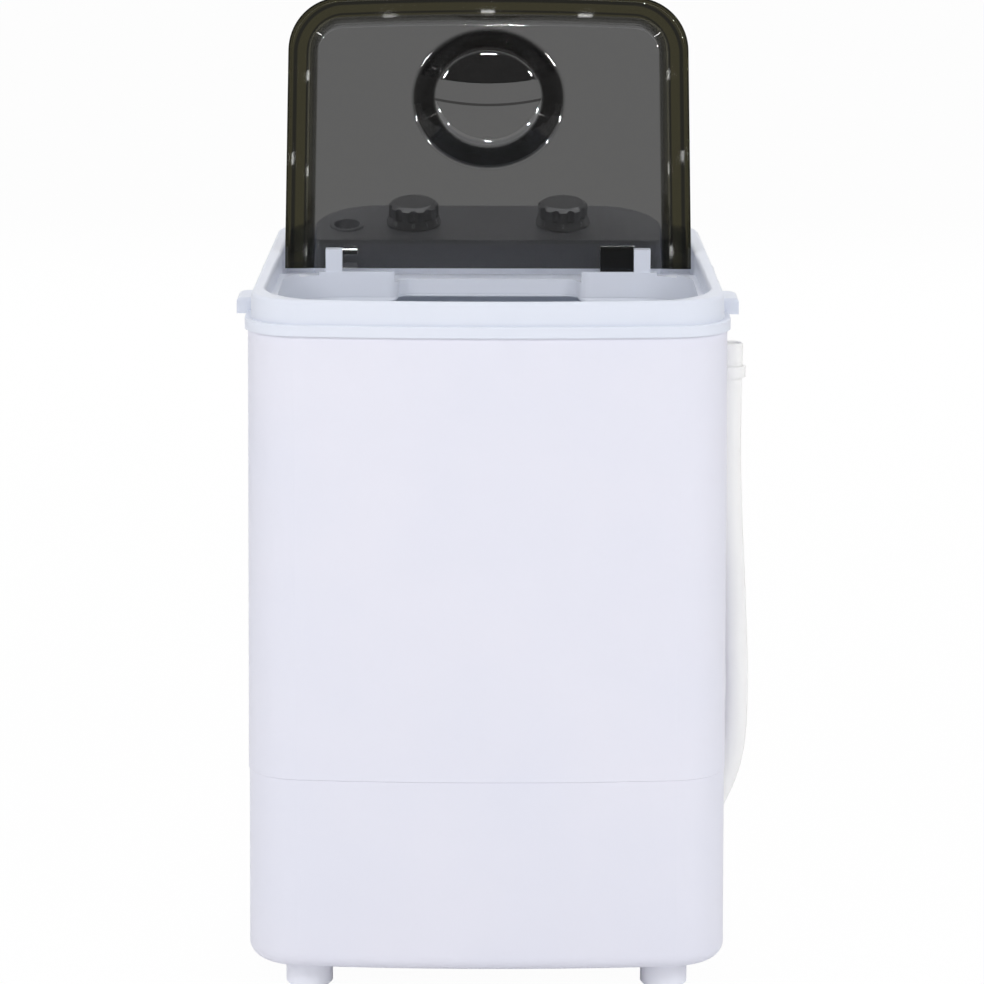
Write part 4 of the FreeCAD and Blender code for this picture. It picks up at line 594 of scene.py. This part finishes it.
# Painted shade along the crease across the cup's floor: a thin dark line that curves with the cup.
ridge_off = lid_math(
    "SUBTRACT", lid_math("SUBTRACT", along, RIDGE_PLACE),
    lid_math("MULTIPLY", lid_square(lid_math("DIVIDE", across, CUP_HALF_WIDTH)), RIDGE_SAG))
ridge_shade = lid_math("MULTIPLY", lid_below(lid_math("ABSOLUTE", ridge_off), 0.0008, 0.0012), on_floor)

tinted = mix_colours(lid_tree, ridge_shade, rim.outputs["Color"], RIDGE_SHADE_TINT)
tinted = mix_colours(lid_tree, cup_wall, tinted, CUP_TINT)
tinted = mix_colours(lid_tree, lip, tinted, CLEAR_TINT)
tinted = mix_colours(lid_tree, lip_middle, tinted, LIP_TINT)
lid_tree.links.new(tinted, lid_shader.inputs["Base Color"])
lid_shader.inputs["Transmission Weight"].default_value = 1.0
lid_shader.inputs["IOR"].default_value = STYRENE_IOR
lid_tree.links.new(
    spread(lid_tree, add_noise(lid_tree, 0.03, 3.0), 0.01, 0.03), lid_shader.inputs["Roughness"])
add_bump(lid_tree, lid_shader, add_noise(lid_tree, 0.05, 1.0), 0.00003)
dress(smoke, "lid")


# Soft lamps: wide frosted panels on stands round the machine, and two brighter ones at the front corners.
# They only give soft light: none shows as a mirrored patch, and the clear lid doesn't shade the front one.
MIDDLE = Vector((0.0, 0.0, 0.38))
SOFT_LAMPS = [
    ("corner_left", 29.0, (1.1, 0.9), (-1.9, -2.3, 2.3)),
    ("corner_right", 29.0, (1.1, 0.9), (1.9, -2.3, 2.3)),
    ("front", 26.0, (3.0, 2.0), (0.0, -3.6, 1.6)),
    ("back", 50.0, (3.0, 2.0), (0.0, 3.4, 1.8)),
    ("left", 11.0, (1.5, 2.0), (-2.6, -0.2, 1.2)),
    ("right", 11.0, (1.5, 2.0), (2.6, -0.2, 1.2)),
    ("top", 14.0, (2.0, 2.0), (0.0, 0.3, 3.0)),
]


def stage_light(name, energy, size, place, target):
    """A rectangular lamp that looks at a point and doesn't show itself."""
    lamp = bpy.data.lights.new(name, "AREA")
    lamp.shape = "RECTANGLE"
    lamp.size, lamp.size_y = size
    lamp.energy = energy
    holder = bpy.data.objects.new(name, lamp)
    holder.location = place
    holder.rotation_mode = "QUATERNION"
    holder.rotation_quaternion = (target - Vector(place)).to_track_quat("-Z", "Y")
    holder.visible_camera = False
    bpy.context.scene.collection.objects.link(holder)
    return holder


for name, energy, size, place in SOFT_LAMPS:
    lamp = stage_light("soft_" + name, energy, size, place, MIDDLE)
    lamp.visible_glossy = False
    lamp.visible_transmission = False
see_through = bpy.data.collections.new("see_through")
see_through.objects.link(nodes["lid"])
see_through.collection_objects[0].light_linking.link_state = "EXCLUDE"
bpy.data.objects["soft_front"].light_linking.blocker_collection = see_through


# Glint lamps: small bare lamps that light the lid alone and mirror in it as short white ticks.
# Some stand high, low and aside, for the edges of its cup. The tiny ones round the camera, lying
# or upright, show on its rim.
LID_MIDDLE = Vector((0.0, 0.07, 0.667))
FOLD_GLINTS = [
    ("high", 200.0, (0.5, 0.5), (0.0, -2.02, 2.88)),
    ("low", 2500.0, (0.07, 0.04), (0.0, -1.41, 0.07)),
]
SIDE_GLINTS = [
    ("upper", 200.0, (0.36, 0.38), (1.53, -2.05, 2.16)),
    ("side", 1200.0, (0.08, 0.16), (1.56, -1.21, 0.38)),
    ("low", 1500.0, (0.10, 0.05), (1.00, -1.60, 0.09)),
]
LYING_GLINTS = [(-0.1513, 1.2886), (-0.0048, 1.2938), (0.1423, 1.2917)]
UPRIGHT_GLINTS = [
    (-0.2750, 1.2001), (0.2666, 1.2040), (-0.3009, 1.0784), (0.2929, 1.0812),
    (-0.2760, 1.0577), (0.2696, 1.0633), (-0.2776, 0.9365), (0.2724, 0.9394),
]
LYING_SIZE = (0.020, 0.0026)
UPRIGHT_SIZE = (0.0020, 0.015)
RIM_GLINT_LEVEL = 20.0
RIM_GLINT_Y = -3.0645
RIM_GLINT_LEAN = 0.14

glints = list(FOLD_GLINTS)
for side in (-1, 1):
    for name, level, size, (x, y, z) in SIDE_GLINTS:
        glints.append((f"{name}_{side}", level, size, (x * side, y, z)))
for spots, size in ((LYING_GLINTS, LYING_SIZE), (UPRIGHT_GLINTS, UPRIGHT_SIZE)):
    for x, z in spots:
        glints.append((f"rim_{x}_{z}", RIM_GLINT_LEVEL, size, (x, RIM_GLINT_Y + RIM_GLINT_LEAN * z, z)))
on_lid = bpy.data.collections.new("on_lid")
on_lid.objects.link(nodes["lid"])
for name, level, size, place in glints:
    lamp = stage_light("glint_" + name, math.pi * level * size[0] * size[1], size, place, LID_MIDDLE)
    lamp.visible_diffuse = False
    lamp.light_linking.receiver_collection = on_lid


# Knob lamp: a long frosted sheet hung level over the console, for the knobs alone.
# It brings out the bright chamfers and flutes round their tops.
SHEET_PLACE = (0.0, 0.1, 2.9)

on_knobs = bpy.data.collections.new("on_knobs")
for name in ("timer_knob", "selector_knob"):
    on_knobs.objects.link(nodes[name])
knob_lamp = stage_light("over_knobs", 70.0, (4.4, 1.5), SHEET_PLACE, Vector((*SHEET_PLACE[:2], 0.0)))
knob_lamp.visible_diffuse = False
knob_lamp.light_linking.receiver_collection = on_knobs
knob_lamp.light_linking.blocker_collection = see_through


# Floor: a sheet of matt white board, laid so wide that none of its edge comes into view.
# Seen straight or through the lid it glows almost white, and keeps a trace of the machine's shadow.
FLOOR_GLOW_SHARE = 0.975
FLOOR_RADIUS = 30.0
FLOOR_SINK = 0.0002


def seen_straight(tree):
    """1 for what the camera sees, straight or through something clear, else 0."""
    path = tree.nodes.new("ShaderNodeLightPath")
    return add_math(tree, "MAXIMUM", path.outputs["Is Camera Ray"], path.outputs["Is Transmission Ray"])


white_floor, floor_tree, floor_shader = new_material("white_floor")
floor_shader.inputs["Base Color"].default_value = (0.95, 0.95, 0.95, 1.0)
floor_shader.inputs["Roughness"].default_value = 0.9
floor_glow = floor_tree.nodes.new("ShaderNodeEmission")
floor_glow.inputs["Strength"].default_value = 1.0
floor_mix = floor_tree.nodes.new("ShaderNodeMixShader")
floor_share = add_math(floor_tree, "MULTIPLY", seen_straight(floor_tree), FLOOR_GLOW_SHARE)
floor_tree.links.new(floor_share, floor_mix.inputs["Fac"])
floor_tree.links.new(floor_shader.outputs[0], floor_mix.inputs[1])
floor_tree.links.new(floor_glow.outputs[0], floor_mix.inputs[2])
floor_tree.links.new(floor_mix.outputs[0], floor_tree.nodes["Material Output"].inputs["Surface"])
floor_mesh = bmesh.new()
bmesh.ops.create_circle(floor_mesh, cap_ends=True, segments=96, radius=FLOOR_RADIUS)
floor = link_mesh("floor", floor_mesh, smooth=False)
floor.location = (0, 0, -FLOOR_SINK)
floor.data.materials.append(white_floor)


# Room: a white studio. What the camera sees of it is plain white.
# Glossy pieces mirror it bright at the back and dim towards the camera; the rest get a dim even light.
ROOM_EVEN_LIGHT = 0.28
ROOM_FRONT_LIGHT = 0.12

world = bpy.data.worlds.new("studio")
bpy.context.scene.world = world
world.use_nodes = True
room = world.node_tree
room_path = room.nodes.new("ShaderNodeLightPath")
room_place = room.nodes.new("ShaderNodeTexCoord")
room_axes = room.nodes.new("ShaderNodeSeparateXYZ")
room.links.new(room_place.outputs["Generated"], room_axes.inputs["Vector"])
room_gloss = room.nodes.new("ShaderNodeMix")
room_gloss.inputs["A"].default_value = ROOM_EVEN_LIGHT
room.links.new(room_path.outputs["Is Glossy Ray"], room_gloss.inputs["Factor"])
room_back = add_range(room, room_axes.outputs["Y"], -0.2, 0.5, ROOM_FRONT_LIGHT, 1.0, smooth=True)
room.links.new(room_back, room_gloss.inputs["B"])
room_light = room.nodes["Background"]
room_light.inputs["Color"].default_value = (1.0, 1.0, 1.0, 1.0)
room_level = add_math(room, "MAXIMUM", room_gloss.outputs["Result"], seen_straight(room))
room.links.new(room_level, room_light.inputs["Strength"])


# Camera: three metres in front and a metre up with a long lens, looking a little down on the machine.
# It is held a touch askew, as a hand holds it.
CAMERA_PLACE = (0.0035, -3.170, 1.0299)
CAMERA_DIP = 11.88
CAMERA_TURN = 0.12

photo_camera = bpy.data.cameras.new("photo_camera")
photo_camera.sensor_width = 36.0
photo_camera.lens = 150.45
photo_camera.clip_end = 100.0
camera = bpy.data.objects.new("photo_camera", photo_camera)
camera.location = CAMERA_PLACE
camera.rotation_mode = "ZYX"
camera.rotation_euler = (math.radians(90 - CAMERA_DIP), 0, math.radians(CAMERA_TURN))
bpy.context.scene.collection.objects.link(camera)
bpy.context.scene.camera = camera
bpy.context.scene.view_settings.view_transform = "Standard"
